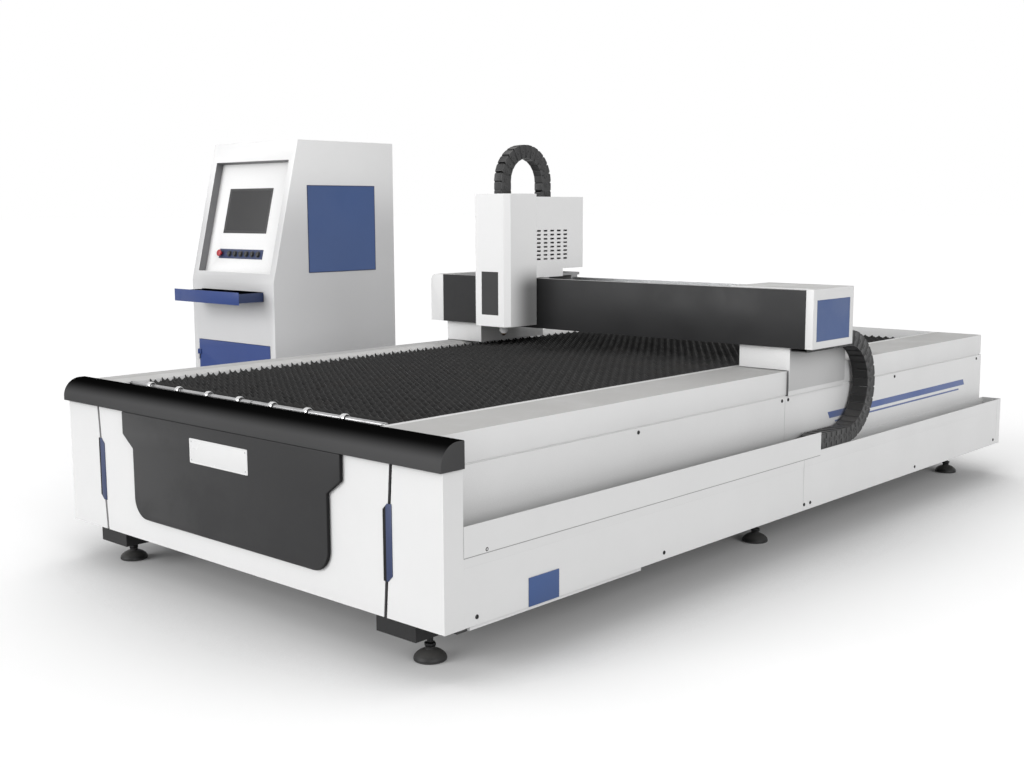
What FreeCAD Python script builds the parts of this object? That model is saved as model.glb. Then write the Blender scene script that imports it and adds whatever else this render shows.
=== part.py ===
import FreeCAD, Part
import math
import os

# Flat-bed fibre laser cutting machine with a free-standing control cabinet, in millimetres.
# Built with X across the bed (0 at its middle), Y from the front plane to the rear and Z up from the floor.
# At export everything is shifted, so that the origin is below the middle of the whole machine.

V = FreeCAD.Vector
UP = V(0, 0, 1)

# ---- sheet metal and clearances ----
SHEET = 2.0
PANEL = 10.0
RUN_GAP = 0.3
SLIDE_GAP = 1.0

# ---- bed ----
BED_WIDTH = 2200.0
BED_LENGTH = 4185.0
FLOOR_GAP = 162.0
COLUMN_HEIGHT = 501.0
COLUMN_DEPTH = 84.0
COLUMN_TOP_WIDTH = 222.0
COLUMN_FOOT_WIDTH = 258.0
COLUMN_SEAM = 14.0
SEAM_HEIGHT = 481.0
SLOT_HEIGHT = 6.0
RAIL_COVER_HEIGHT = 101.0
RIGHT_COVER_WIDTH = 315.0
LEFT_COVER_WIDTH = 130.0
LEFT_STEP = 70.0
STEP_HEIGHT = 243.0
BEAM_DROP = 53.0
BEAM_INSET = 5.0
PANEL_JOINT_Y = 2125.0
PANEL_JOINT_GAP = 1.0

# ---- cable tray on the right side ----
TRAY_WIDTH = 100.0
TRAY_DEPTH = 55.0
TRAY_TAIL = 46.0
TRAY_SCREEN_HEIGHT = 99.0
TRAY_SCREEN_DROP = 21.0
TRAY_SCREEN_END = 2260.0

# ---- base rails, cross members and levelling feet ----
BASE_RAIL_WIDTH = 185.0
BASE_RAIL_HEIGHT = 68.0
BASE_RAIL_INSET = 160.0
BASE_RAIL_FRONT = 30.0
CROSS_SECTION = 100.0
CROSS_HEIGHT = 98.0
CROSS_COUNT = 5
FOOT_INSET_X = 211.0
FOOT_INSET_Y = 140.0
FOOT_PAD_RADIUS = 55.0
FOOT_PAD_HEIGHT = 18.0
FOOT_STEM_RADIUS = 11.0
FOOT_NUT_RADIUS = 20.0
FOOT_NUT_HEIGHT = 14.0

# ---- toothed slats ----
SLAT_PITCH = 66.0
SLAT_FIRST_Y = 250.0
SLAT_REAR_MARGIN = 170.0
SLAT_HEIGHT = 81.0
SLAT_THICKNESS = 3.0
SLAT_TOOTH_DEPTH = 26.0
SLAT_TOOTH_PITCH = 97.0
LEDGE_WIDTH = 45.0
LEDGE_THICKNESS = 8.0
LEDGE_LEG = 121.0
LEDGE_RISE = 71.0

# ---- bumper, apron and blue plates ----
BUMPER_HEIGHT = 89.0
BUMPER_LIP = 18.0
BUMPER_SIDE_LIP = 10.0
BUMPER_NOSE_HEIGHT = 22.0
BUMPER_CREST_DEPTH = 62.0
APRON_WIDTH = 1340.0
APRON_WAIST_WIDTH = 1200.0
APRON_DROP = 91.0
APRON_CHAMFER = 50.0
APRON_HEIGHT = 411.0
APRON_CORNER = 80.0
APRON_THICKNESS = 16.0
INSERT_WIDTH = 40.0
INSERT_HEIGHT = 250.0
INSERT_BOTTOM = 120.0
INSERT_CHAMFER = 20.0
SIDE_PLATE_Y = 379.0
SIDE_PLATE_LENGTH = 149.0
SIDE_PLATE_HEIGHT = 96.0
PLATE_THICKNESS = 3.0

# ---- loading rollers at the front ----
DECK_DEPTH = 150.0
DECK_DROP = 60.0
ROLLER_COUNT = 7
ROLLER_FIRST = 160.0
ROLLER_PITCH = 200.0
ROLLER_RADIUS = 18.0
ROLLER_WIDTH = 22.0
ROLLER_ROD_RADIUS = 6.0
ROLLER_ROD_Y = 165.0
ROLLER_FIT = 0.05
ROLLER_LUG = 10.0

# ---- guides and drives of the gantry ----
GUIDE_WIDTH = 30.0
GUIDE_HEIGHT = 28.0
GUIDE_RIGHT_INSET = 200.0
GUIDE_LEFT_INSET = 45.0
RACK_WIDTH = 12.0
RACK_HEIGHT = 30.0
RACK_GAP = 30.0
PINION_RADIUS = 16.0
PINION_TEETH = 12
PINION_TOOTH = 4.0
PINION_HEIGHT = 24.0
PINION_SHAFT_RADIUS = 6.0
CARRIAGE_PLATE = 16.0
CARRIAGE_LENGTH = 480.0
TONGUE = 4.0
BLOCK_WIDTH = 60.0
BLOCK_LENGTH = 110.0

# ---- gantry ----
GANTRY_Y = 2100.0
BEAM_HEIGHT = 245.0
BEAM_CLEARANCE = 102.0
BEAM_DEPTH = 345.0
BEAM_TUBE_DEPTH = 300.0
BEAM_TUBE_HEIGHT = 218.0
BEAM_WALL = 10.0
BEAM_COVER_DEPTH = 30.0
BEAM_COVER_SHEET = 3.0
LEFT_CAP_OUT = 131.0
LEFT_CAP_WIDTH = 92.0
LEFT_CAP_ROUND = 30.0
RIGHT_CAP_WIDTH = 36.0
RIGHT_BOX_WIDTH = 420.0
RIGHT_BOX_RISE = 5.0
GANTRY_FOOT_FRONT = 33.0
GANTRY_FOOT_LENGTH = 487.0
GANTRY_FOOT_WIDTH = 235.0
GANTRY_FOOT_GAP = 3.0
GANTRY_ARM = 10.0
GANTRY_SKIRT = 3.0
GANTRY_SKIRT_RISE = 16.0
X_RAIL_WIDTH = 24.0
X_RAIL_HEIGHT = 22.0
X_RAIL_INSET = 40.0

# ---- cutting head ----
HEAD_X = -493.0
HEAD_WIDTH = 226.0
HEAD_DEPTH = 217.0
HEAD_FRONT_GAP = 3.0
HEAD_BOTTOM_RISE = 17.0
HEAD_HEIGHT = 639.0
HEAD_CHAMFER_X = 20.0
HEAD_CHAMFER_Y = 30.0
HEAD_REAR_DEPTH = 357.0
HEAD_REAR_DROP = 14.0
HEAD_REAR_GAP = 6.0
HEAD_REAR_STEP = 40.0
HEAD_REAR_STEP_Y = 200.0
WINDOW_WIDTH = 110.0
WINDOW_HEIGHT = 209.0
WINDOW_RISE = 56.0
WINDOW_SHIFT = 2.0
VENT_COLUMNS = 5
VENT_ROWS = 8
VENT_PITCH_Y = 50.0
VENT_PITCH_Z = 19.7
VENT_LENGTH = 28.0
VENT_HEIGHT = 8.0
VENT_FIRST_Y = 18.0
VENT_TOP_DROP = 166.0
HEAD_PLATE = 14.0
HEAD_PLATE_GAP = 10.0
Z_RAIL_WIDTH = 15.0
Z_RAIL_DEPTH = 14.0
Z_RAIL_SPREAD = 70.0
Z_PLATE = 14.0
Z_PLATE_HEIGHT = 360.0
LASER_BODY = 68.0
LASER_BODY_HEIGHT = 240.0
LASER_TUBE_RADIUS = 29.0
LASER_TUBE_HEIGHT = 140.0
LASER_COLLAR_RADIUS = 21.0
NOZZLE_REACH = 52.0
NOZZLE_HEIGHT = 21.0
NOZZLE_RADIUS = 14.0
NOZZLE_TIP_RADIUS = 4.0
NOZZLE_BORE_RADIUS = 1.0
HEAD_AXIS_Y = 100.0

# ---- energy chains ----
CHAIN_WIDTH = 78.0
CHAIN_HEIGHT = 68.0
CHAIN_PITCH = 45.0
CHAIN_OUTER_RADIUS = 250.0
CHAIN_BOTTOM_RISE = 52.0
CHAIN_BEND_BACK = 406.0
CHAIN_START_Y = 900.0
CHAIN_DROP = 22.0
CHAIN_DROP_Y = 2190.0
CHAIN_DROP_LENGTH = 90.0
CHAIN_POCKET = 3.0
CHAIN_SIDE = 5.0
CHAIN_BAR = 5.0
CHAIN_GAP = 0.3
Z_CHAIN_WIDTH = 52.0
Z_CHAIN_HEIGHT = 66.0
Z_CHAIN_OUTER_RADIUS = 180.0
Z_CHAIN_PITCH = 40.0
Z_CHAIN_X = 13.0
Z_CHAIN_FRONT = 50.0
Z_CHAIN_CROWN = 57.0
Z_CHAIN_HOLE_GAP = 8.0

# ---- control cabinet ----
CABINET_GAP = 938.0
CABINET_WIDTH = 800.0
CABINET_DEPTH = 910.0
CABINET_FRONT_Y = 1750.0
CABINET_HEIGHT = 1828.0
CABINET_KNEE = 1028.0
CABINET_LEAN = 196.0
CONSOLE_MARGIN_X = 48.0
CONSOLE_BOTTOM = 50.0
CONSOLE_TOP_MARGIN = 113.0
CONSOLE_DEPTH = 50.0
CONSOLE_SHIFT = -22.0
SCREEN_WIDTH = 420.0
SCREEN_HEIGHT = 268.0
SCREEN_THICKNESS = 14.0
SCREEN_BOTTOM = 292.0
STRIP_WIDTH = 425.0
STRIP_HEIGHT = 56.0
STRIP_BOTTOM = 140.0
BUTTON_COUNT = 6
BUTTON_PITCH = 56.0
BUTTON_FIRST = 105.0
BUTTON_RADIUS = 14.0
BUTTON_STEM_RADIUS = 8.0
BUTTON_RISE = 8.0
BUTTON_SKIN = 5.0
STOP_RADIUS = 20.0
STOP_RISE = 22.0
STOP_X = 20.0
DRAWER_WIDTH = 600.0
DRAWER_HEIGHT = 52.0
DRAWER_DEPTH = 400.0
DRAWER_BOTTOM = 919.0
DRAWER_OUT = 180.0
DRAWER_PLATE_WIDTH = 637.0
DRAWER_PLATE_HEIGHT = 71.0
DRAWER_PLATE_THICKNESS = 3.0
RUNNER_WIDTH = 30.0
RUNNER_HEIGHT = 12.0
DOOR_MARGIN_X = 50.0
DOOR_BOTTOM = 100.0
DOOR_HEIGHT = 568.0
DOOR_THICKNESS = 20.0
DOOR_GAP = 2.0
HINGE_RADIUS = 6.0
HINGE_KNUCKLE = 30.0
HINGE_STANDOFF = 6.5
HINGE_LUG = 20.0
HINGE_MARGIN = 90.0
LATCH_RADIUS = 16.0
LATCH_RISE = 10.0
LATCH_INSET = 40.0
SIDE_COVER_FRONT = 251.0
SIDE_COVER_LENGTH = 507.0
SIDE_COVER_BOTTOM = 1076.0
SIDE_COVER_HEIGHT = 499.0

# ---- lines that several pieces share ----
right = BED_WIDTH / 2
left = -BED_WIDTH / 2
body_right = right - TRAY_WIDTH
body_left = left + LEFT_STEP
field_right = body_right - RIGHT_COVER_WIDTH
field_left = body_left + LEFT_COVER_WIDTH
casing_z = FLOOR_GAP
column_z = casing_z + COLUMN_HEIGHT
step_z = casing_z + STEP_HEIGHT
slot_z = casing_z + SEAM_HEIGHT
seam_z = slot_z + SLOT_HEIGHT
cover_z = seam_z + RAIL_COVER_HEIGHT
beam_z = slot_z - BEAM_DROP
ledge_z = beam_z + LEDGE_RISE
slat_z = ledge_z + SLAT_HEIGHT
rear_y = BED_LENGTH - PANEL
guide_right_x = body_right - GUIDE_RIGHT_INSET
guide_left_x = body_left + GUIDE_LEFT_INSET
tray_floor_z = step_z - TRAY_DEPTH

gantry_z = cover_z + BEAM_CLEARANCE
beam_top_z = gantry_z + BEAM_HEIGHT
cap_left = left - (LEFT_CAP_OUT - (LEFT_STEP + 30.0))
beam_left = cap_left + LEFT_CAP_WIDTH
cap_right = right + RIGHT_CAP_WIDTH
tube_front = GANTRY_Y + BEAM_COVER_DEPTH
tube_top_z = gantry_z + BEAM_TUBE_HEIGHT
skirt_x = body_right + GANTRY_ARM
foot_front = GANTRY_Y + GANTRY_FOOT_FRONT
foot_rear = foot_front + GANTRY_FOOT_LENGTH
foot_z = cover_z + GANTRY_FOOT_GAP

head_rear = GANTRY_Y - HEAD_FRONT_GAP
head_front = head_rear - HEAD_DEPTH
head_z = gantry_z + HEAD_BOTTOM_RISE
head_top_z = head_z + HEAD_HEIGHT
head_left = HEAD_X - HEAD_WIDTH / 2
head_right = HEAD_X + HEAD_WIDTH / 2
head_rear_top_z = head_top_z - HEAD_REAR_DROP
plate_rear = GANTRY_Y - HEAD_PLATE_GAP
plate_front = plate_rear - HEAD_PLATE
carriage_z = beam_top_z + HEAD_REAR_GAP
head_axis_y = head_front + HEAD_AXIS_Y

chain_left = right - 2 * SHEET - CHAIN_POCKET - CHAIN_WIDTH
chain_z = tray_floor_z + CHAIN_BOTTOM_RISE
chain_bend_y = GANTRY_Y + CHAIN_BEND_BACK
chain_axis_z = chain_z + CHAIN_OUTER_RADIUS
z_chain_left = HEAD_X + Z_CHAIN_X - Z_CHAIN_WIDTH / 2
z_chain_front = head_front + Z_CHAIN_FRONT
z_chain_axis_y = z_chain_front + Z_CHAIN_OUTER_RADIUS
z_chain_axis_z = head_top_z + Z_CHAIN_CROWN
z_chain_rear = z_chain_axis_y + Z_CHAIN_OUTER_RADIUS

cabinet_right = left - CABINET_GAP
cabinet_left = cabinet_right - CABINET_WIDTH
cabinet_x = (cabinet_left + cabinet_right) / 2
cabinet_rear = CABINET_FRONT_Y + CABINET_DEPTH
slant_height = CABINET_HEIGHT - CABINET_KNEE
slant_length = math.hypot(slant_height, CABINET_LEAN)
slant_angle = math.degrees(math.atan2(CABINET_LEAN, slant_height))

machine_front = -BUMPER_LIP
machine_rear = BED_LENGTH + TRAY_TAIL
ORIGIN = V((cabinet_left + cap_right) / 2, (machine_front + machine_rear) / 2, 0)


# ---- shape helpers ----
def box(x0, x1, y0, y1, z0, z1):
    """Block between two values on each axis."""
    return Part.makeBox(x1 - x0, y1 - y0, z1 - z0, V(x0, y0, z0))


def face_of(points):
    """Flat face inside a closed outline of straight edges."""
    return Part.Face(Part.makePolygon(list(points) + [points[0]]))


def along_x(outline, x0, x1):
    """Solid with a Y-Z outline, from x0 to x1."""
    return face_of([V(x0, y, z) for y, z in outline]).extrude(V(x1 - x0, 0, 0))


def along_y(outline, y0, y1):
    """Solid with an X-Z outline, from y0 to y1."""
    return face_of([V(x, y0, z) for x, z in outline]).extrude(V(0, y1 - y0, 0))


def along_z(outline, z0, z1):
    """Solid with an X-Y outline, from z0 to z1."""
    return face_of([V(x, y, z0) for x, y in outline]).extrude(V(0, 0, z1 - z0))


def rod(radius, start, end):
    """Round bar between two points."""
    axis = end.sub(start)
    return Part.makeCylinder(radius, axis.Length, start, axis)


def inset(outline, wall):
    """Outline moved inwards by a wall, for a convex outline that runs anticlockwise."""
    edges = []
    for (x0, y0), (x1, y1) in zip(outline, outline[1:] + outline[:1]):
        length = math.hypot(x1 - x0, y1 - y0)
        dx, dy = (x1 - x0) / length, (y1 - y0) / length
        edges.append((x0 - dy * wall, y0 + dx * wall, dx, dy))
    corners = []
    for (ax, ay, adx, ady), (bx, by, bdx, bdy) in zip(edges[-1:] + edges[:-1], edges):
        cross = adx * bdy - ady * bdx
        reach = ((bx - ax) * bdy - (by - ay) * bdx) / cross
        corners.append((ax + adx * reach, ay + ady * reach))
    return corners


def fused(shapes):
    """One solid from pieces that overlap or touch."""
    whole = shapes[0].multiFuse(shapes[1:])
    return whole.removeSplitter()


def group(shapes):
    """Several separate solids in one node."""
    return Part.makeCompound(shapes)


# ---- bed ----
def base_rails():
    """Two rails under the casing that stand on the levelling feet."""
    outer = right - BASE_RAIL_INSET
    inner = outer - BASE_RAIL_WIDTH
    z0 = casing_z - BASE_RAIL_HEIGHT
    return group([box(x0, x1, BASE_RAIL_FRONT, rear_y, z0, casing_z)
                  for x0, x1 in ((inner, outer), (-outer, -inner))])


def side_beams():
    """Plate-welded beams under the two rail covers."""
    right_beam = box(field_right + BEAM_INSET, body_right - PANEL, COLUMN_DEPTH, rear_y, casing_z, beam_z)
    left_beam = box(body_left + PANEL, field_left - BEAM_INSET, COLUMN_DEPTH, rear_y, casing_z, beam_z)
    return group([left_beam, right_beam])


def cross_members():
    """Square tubes that tie the two side beams."""
    first = COLUMN_DEPTH + DECK_DEPTH
    step = (rear_y - SLAT_REAR_MARGIN / 2 - first - CROSS_SECTION) / (CROSS_COUNT - 1)
    z0 = casing_z + CROSS_HEIGHT
    x0, x1 = field_left - BEAM_INSET, field_right + BEAM_INSET
    wall = PANEL / 2
    tubes = []
    for i in range(CROSS_COUNT):
        y0 = first + i * step
        tube = box(x0, x1, y0, y0 + CROSS_SECTION, z0, z0 + CROSS_SECTION)
        hollow = box(x0, x1, y0 + wall, y0 + CROSS_SECTION - wall, z0 + wall, z0 + CROSS_SECTION - wall)
        tubes.append(tube.cut(hollow))
    return group(tubes)


def slat_ledges():
    """Angle bars on the inner faces of the side beams that carry the slats."""
    x0, x1 = field_right + BEAM_INSET, field_right + BEAM_INSET - LEDGE_WIDTH
    web = x0 - LEDGE_THICKNESS
    z0, z1 = ledge_z - LEDGE_LEG, ledge_z - LEDGE_THICKNESS
    angle = [(x0, z0), (x0, ledge_z), (x1, ledge_z), (x1, z1), (web, z1), (web, z0)]
    middle = field_left + field_right
    mirrored = [(middle - x, z) for x, z in angle]
    y0, y1 = COLUMN_DEPTH + DECK_DEPTH, rear_y
    return group([along_y(angle, y0, y1), along_y(mirrored, y0, y1)])


def slat_outline():
    """Saw-toothed upper edge over a straight lower edge, as X-Z points."""
    x0, x1 = field_left + SLIDE_GAP, field_right - SLIDE_GAP
    teeth = round((x1 - x0) / SLAT_TOOTH_PITCH)
    pitch = (x1 - x0) / teeth
    valley = slat_z - SLAT_TOOTH_DEPTH
    outline = [(x1, valley), (x1, ledge_z), (x0, ledge_z), (x0, valley)]
    for i in range(teeth):
        outline.append((x0 + (i + 0.5) * pitch, slat_z))
        if i < teeth - 1:
            outline.append((x0 + (i + 1) * pitch, valley))
    return outline


def slats():
    """Toothed slats across the bed, all alike."""
    blank = along_y(slat_outline(), SLAT_FIRST_Y, SLAT_FIRST_Y + SLAT_THICKNESS)
    count = int((rear_y - SLAT_REAR_MARGIN - SLAT_FIRST_Y) // SLAT_PITCH)
    return group([blank.translated(V(0, i * SLAT_PITCH, 0)) for i in range(count)])


def rail_cover(outer, inner):
    """Folded hood over a guide rail, with its outer lip above the slot and its inner lip on the ledge."""
    inward = 1 if inner > outer else -1
    fold = inward * SHEET
    outline = [(outer, seam_z), (outer, cover_z), (inner, cover_z), (inner, ledge_z),
               (inner - fold, ledge_z), (inner - fold, cover_z - SHEET), (outer + fold, cover_z - SHEET),
               (outer + fold, seam_z)]
    return along_y(outline, COLUMN_DEPTH, rear_y)


def linear_rails():
    """Guide rails on the side beams."""
    half = GUIDE_WIDTH / 2
    return group([box(x - half, x + half, COLUMN_DEPTH, rear_y, beam_z, beam_z + GUIDE_HEIGHT)
                  for x in (guide_left_x, guide_right_x)])


def rack_x(guide_x, outward):
    """Toothed face of the rack that lies inside of a guide rail."""
    return guide_x - outward * (GUIDE_WIDTH / 2 + RACK_GAP)


def drive_racks():
    """Drive racks beside the guide rails."""
    bars = []
    for guide_x, outward in ((guide_left_x, -1), (guide_right_x, 1)):
        near = rack_x(guide_x, outward)
        far = near + outward * RACK_WIDTH
        x0, x1 = min(near, far), max(near, far)
        bars.append(box(x0, x1, COLUMN_DEPTH, rear_y, beam_z, beam_z + RACK_HEIGHT))
    return group(bars)


def right_side_casing():
    """Lower side box, the raised screen in front of the tray and the panels above it."""
    outer, inner = right, body_right
    joint = PANEL_JOINT_GAP / 2
    spans = ((COLUMN_DEPTH, PANEL_JOINT_Y - joint), (PANEL_JOINT_Y + joint, BED_LENGTH))
    pieces = [box(inner, outer, y0, y1, casing_z, tray_floor_z) for y0, y1 in spans]
    pieces += [box(outer - SHEET, outer, y0, y1, tray_floor_z, step_z) for y0, y1 in spans]
    screen_z = step_z - TRAY_SCREEN_DROP
    pieces.append(box(outer, outer + SHEET, COLUMN_DEPTH, TRAY_SCREEN_END, screen_z, screen_z + TRAY_SCREEN_HEIGHT))
    pieces += [box(inner - PANEL, inner, y0, y1, casing_z, slot_z) for y0, y1 in spans]
    return group(pieces)


def cable_tray():
    """Plates of the open channel that holds the side energy chain, and the block that closes its rear end."""
    x0, x1 = body_right, right - SHEET
    y0, y1 = COLUMN_DEPTH, machine_rear
    floor_z = tray_floor_z + SHEET
    floor = box(x0, x1, y0, y1, tray_floor_z, floor_z)
    inner_wall = box(x0, x0 + SHEET, y0, y1, floor_z, step_z)
    outer_wall = box(x1 - SHEET, x1, y0, y1, floor_z, step_z)
    end_wall = box(x0 + SHEET, x1 - SHEET, y1 - SHEET, y1, floor_z, step_z)
    tail = box(body_right, right, BED_LENGTH, y1, casing_z, tray_floor_z)
    skin = box(x1, right, BED_LENGTH, y1, tray_floor_z, step_z)
    return group([floor, inner_wall, outer_wall, end_wall, tail, skin])


def left_side_casing():
    """Stepped casing along the left side."""
    outline = [(left, casing_z), (left, step_z), (body_left, step_z), (body_left, slot_z),
               (body_left + PANEL, slot_z), (body_left + PANEL, casing_z)]
    return along_y(outline, COLUMN_DEPTH, BED_LENGTH)


def front_casing():
    """Two tapered corner columns with the front panel between them."""
    outline = [(right - COLUMN_FOOT_WIDTH, casing_z), (right, casing_z), (right, column_z),
               (right - COLUMN_TOP_WIDTH, column_z)]
    mirrored = [(-x, z) for x, z in outline]
    columns = [along_y(o, 0, COLUMN_DEPTH) for o in (outline, mirrored)]
    foot = right - COLUMN_FOOT_WIDTH - COLUMN_SEAM
    top = right - COLUMN_TOP_WIDTH - COLUMN_SEAM
    panel = along_y([(-foot, casing_z), (foot, casing_z), (top, column_z), (-top, column_z)], 0, PANEL)
    rib = box(-foot - COLUMN_SEAM, foot + COLUMN_SEAM, PANEL, COLUMN_DEPTH, casing_z, casing_z + PANEL)
    return group(columns + [fused([panel, rib])])


def front_deck():
    """Folded shelf behind the bumper, under the loading rollers."""
    y0, y1 = COLUMN_DEPTH, COLUMN_DEPTH + DECK_DEPTH
    z1 = cover_z - DECK_DROP
    outline = [(y0, casing_z), (y0, z1), (y1, z1), (y1, beam_z), (y1 - SHEET, beam_z), (y1 - SHEET, z1 - SHEET),
               (y0 + SHEET, z1 - SHEET), (y0 + SHEET, casing_z)]
    return along_x(outline, field_left, field_right)


def rear_panel():
    """Panel that closes the rear of the bed."""
    return box(body_left + PANEL, body_right - PANEL, rear_y, BED_LENGTH, casing_z, cover_z)


def front_bumper():
    """Bumper with one broad rounded nose over the whole front."""
    x0, x1 = left - BUMPER_SIDE_LIP, right + BUMPER_SIDE_LIP
    z0, z1 = column_z, column_z + BUMPER_HEIGHT
    nose = V(x0, -BUMPER_LIP, z0 + BUMPER_NOSE_HEIGHT)
    crest = V(x0, BUMPER_CREST_DEPTH, z1)
    reach, rise = crest.y - nose.y, crest.z - nose.z
    bow = V(x0, nose.y + reach * (1 - math.cos(math.pi / 4)), nose.z + rise * math.sin(math.pi / 4))
    front = V(x0, -BUMPER_LIP, z0)
    rear_foot, rear_top = V(x0, COLUMN_DEPTH, z0), V(x0, COLUMN_DEPTH, z1)
    edges = [Part.LineSegment(front, nose).toShape(), Part.Arc(nose, bow, crest).toShape(),
             Part.LineSegment(crest, rear_top).toShape(), Part.LineSegment(rear_top, rear_foot).toShape(),
             Part.LineSegment(rear_foot, front).toShape()]
    return Part.Face(Part.Wire(edges)).extrude(V(x1 - x0, 0, 0))


def front_apron():
    """Dark apron with a chamfered waist and round lower corners."""
    half, waist = APRON_WIDTH / 2, APRON_WAIST_WIDTH / 2
    top, shoulder = column_z, column_z - APRON_DROP
    hip, bottom = shoulder - APRON_CHAMFER, column_z - APRON_HEIGHT
    outline = [(-waist, bottom), (waist, bottom), (waist, hip), (half, shoulder), (half, top), (-half, top),
               (-half, shoulder), (-waist, hip)]
    sheet = along_y(outline, -APRON_THICKNESS, 0)
    corners = [e for e in sheet.Edges if is_lower_corner(e, bottom)]
    return sheet.makeFillet(APRON_CORNER, corners)


def is_lower_corner(edge, z):
    """True for an edge that runs along Y at a height."""
    ends = [v.Point for v in edge.Vertexes]
    return all(abs(p.z - z) < 0.1 for p in ends) and abs(ends[0].y - ends[1].y) > 1


def cover_plates():
    """Inserts in the column seams, the access cover on the side and the cabinet's side cover."""
    plates = []
    half = INSERT_WIDTH / 2
    z0 = casing_z + INSERT_BOTTOM
    z1 = z0 + INSERT_HEIGHT
    cut = INSERT_CHAMFER
    outline = [(-half, z0), (0, z0), (half, z0 + cut), (half, z1), (0, z1), (-half, z1 - cut)]
    lean = (z0 + z1) / 2 - casing_z
    seam = right - COLUMN_FOOT_WIDTH - COLUMN_SEAM / 2
    seam += (COLUMN_FOOT_WIDTH - COLUMN_TOP_WIDTH) * lean / COLUMN_HEIGHT
    for side in (-1, 1):
        shape = [(side * (x + seam), z) for x, z in outline]
        plates.append(along_y(shape, -PLATE_THICKNESS, 0))
    plates.append(box(right, right + PLATE_THICKNESS, SIDE_PLATE_Y, SIDE_PLATE_Y + SIDE_PLATE_LENGTH,
                      casing_z, casing_z + SIDE_PLATE_HEIGHT))
    y0 = CABINET_FRONT_Y + SIDE_COVER_FRONT
    plates.append(box(cabinet_right, cabinet_right + PLATE_THICKNESS, y0, y0 + SIDE_COVER_LENGTH,
                      SIDE_COVER_BOTTOM, SIDE_COVER_BOTTOM + SIDE_COVER_HEIGHT))
    return group(plates)


def levelling_foot(x, y):
    """Pad, threaded stem and lock nut of one foot."""
    top = casing_z - BASE_RAIL_HEIGHT
    brim = FOOT_PAD_HEIGHT * 0.4
    neck = FOOT_STEM_RADIUS * 1.6
    nut = top - FOOT_NUT_HEIGHT
    outline = [(0, 0), (FOOT_PAD_RADIUS, 0), (FOOT_PAD_RADIUS, brim), (neck, FOOT_PAD_HEIGHT),
               (FOOT_STEM_RADIUS, FOOT_PAD_HEIGHT), (FOOT_STEM_RADIUS, nut), (FOOT_NUT_RADIUS, nut),
               (FOOT_NUT_RADIUS, top), (0, top)]
    profile = face_of([V(x + r, y, z) for r, z in outline])
    return profile.revolve(V(x, y, 0), UP, 360)


def levelling_feet():
    """Three feet under each base rail."""
    x = right - FOOT_INSET_X
    rows = (FOOT_INSET_Y, BED_LENGTH / 2, BED_LENGTH - FOOT_INSET_Y)
    return group([levelling_foot(side * x, y) for side in (-1, 1) for y in rows])


# ---- loading rollers ----
roller_z = cover_z + SHEET - ROLLER_RADIUS
deck_z = cover_z - DECK_DROP


def roller_shaft():
    """Rod on three lugs that stand on the deck."""
    x0, x1 = field_left + ROLLER_LUG, field_right - ROLLER_LUG
    bar = rod(ROLLER_ROD_RADIUS, V(x0, ROLLER_ROD_Y, roller_z), V(x1, ROLLER_ROD_Y, roller_z))
    half = ROLLER_LUG
    shapes = [bar]
    middle = field_left + ROLLER_FIRST + ROLLER_PITCH * (ROLLER_COUNT // 2 + 0.5)
    for x in (x0 + half, middle, x1 - half):
        shapes.append(box(x - half, x + half, ROLLER_ROD_Y - half, ROLLER_ROD_Y + half, deck_z, roller_z + half))
    return fused(shapes)


def roller_wheel(index):
    """Roller that spins freely on the rod."""
    x = field_left + ROLLER_FIRST + index * ROLLER_PITCH
    start, end = V(x - ROLLER_WIDTH / 2, ROLLER_ROD_Y, roller_z), V(x + ROLLER_WIDTH / 2, ROLLER_ROD_Y, roller_z)
    return rod(ROLLER_RADIUS, start, end).cut(rod(ROLLER_ROD_RADIUS + ROLLER_FIT, start, end))


# ---- energy chains ----
def chain_link(corners, x0, width):
    """One link: two side plates and a bar across each edge. Corners are start-inner, end-inner, end-outer, start-outer."""
    (ay, az), (by, bz), (cy, cz), (dy, dz) = corners
    plates = [along_x(corners, x, x + CHAIN_SIDE) for x in (x0, x0 + width - CHAIN_SIDE)]

    def point(along, across):
        inner = (ay + (by - ay) * along, az + (bz - az) * along)
        outer = (dy + (cy - dy) * along, dz + (cz - dz) * along)
        return (inner[0] + (outer[0] - inner[0]) * across, inner[1] + (outer[1] - inner[1]) * across)

    share = CHAIN_BAR / math.hypot(dy - ay, dz - az)
    bars = []
    for low, high in ((0.0, share), (1.0 - share, 1.0)):
        outline = [point(0.2, low), point(0.8, low), point(0.8, high), point(0.2, high)]
        bars.append(along_x(outline, x0 + CHAIN_SIDE, x0 + width - CHAIN_SIDE))
    return fused(plates + bars)


def straight_links(start, end, height_step, x0, width, pitch):
    """Links in a row from start to end, which are Y-Z points on the inner edge. height_step leads to the outer edge."""
    length = math.hypot(end[0] - start[0], end[1] - start[1])
    count = max(1, round(length / pitch))
    dy, dz = (end[0] - start[0]) / count, (end[1] - start[1]) / count
    trim = CHAIN_GAP * count / length
    links = []
    for i in range(count):
        a = (start[0] + dy * i, start[1] + dz * i)
        b = (start[0] + dy * (i + 1 - trim), start[1] + dz * (i + 1 - trim))
        c = (b[0] + height_step[0], b[1] + height_step[1])
        d = (a[0] + height_step[0], a[1] + height_step[1])
        links.append(chain_link([a, b, c, d], x0, width))
    return links


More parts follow.
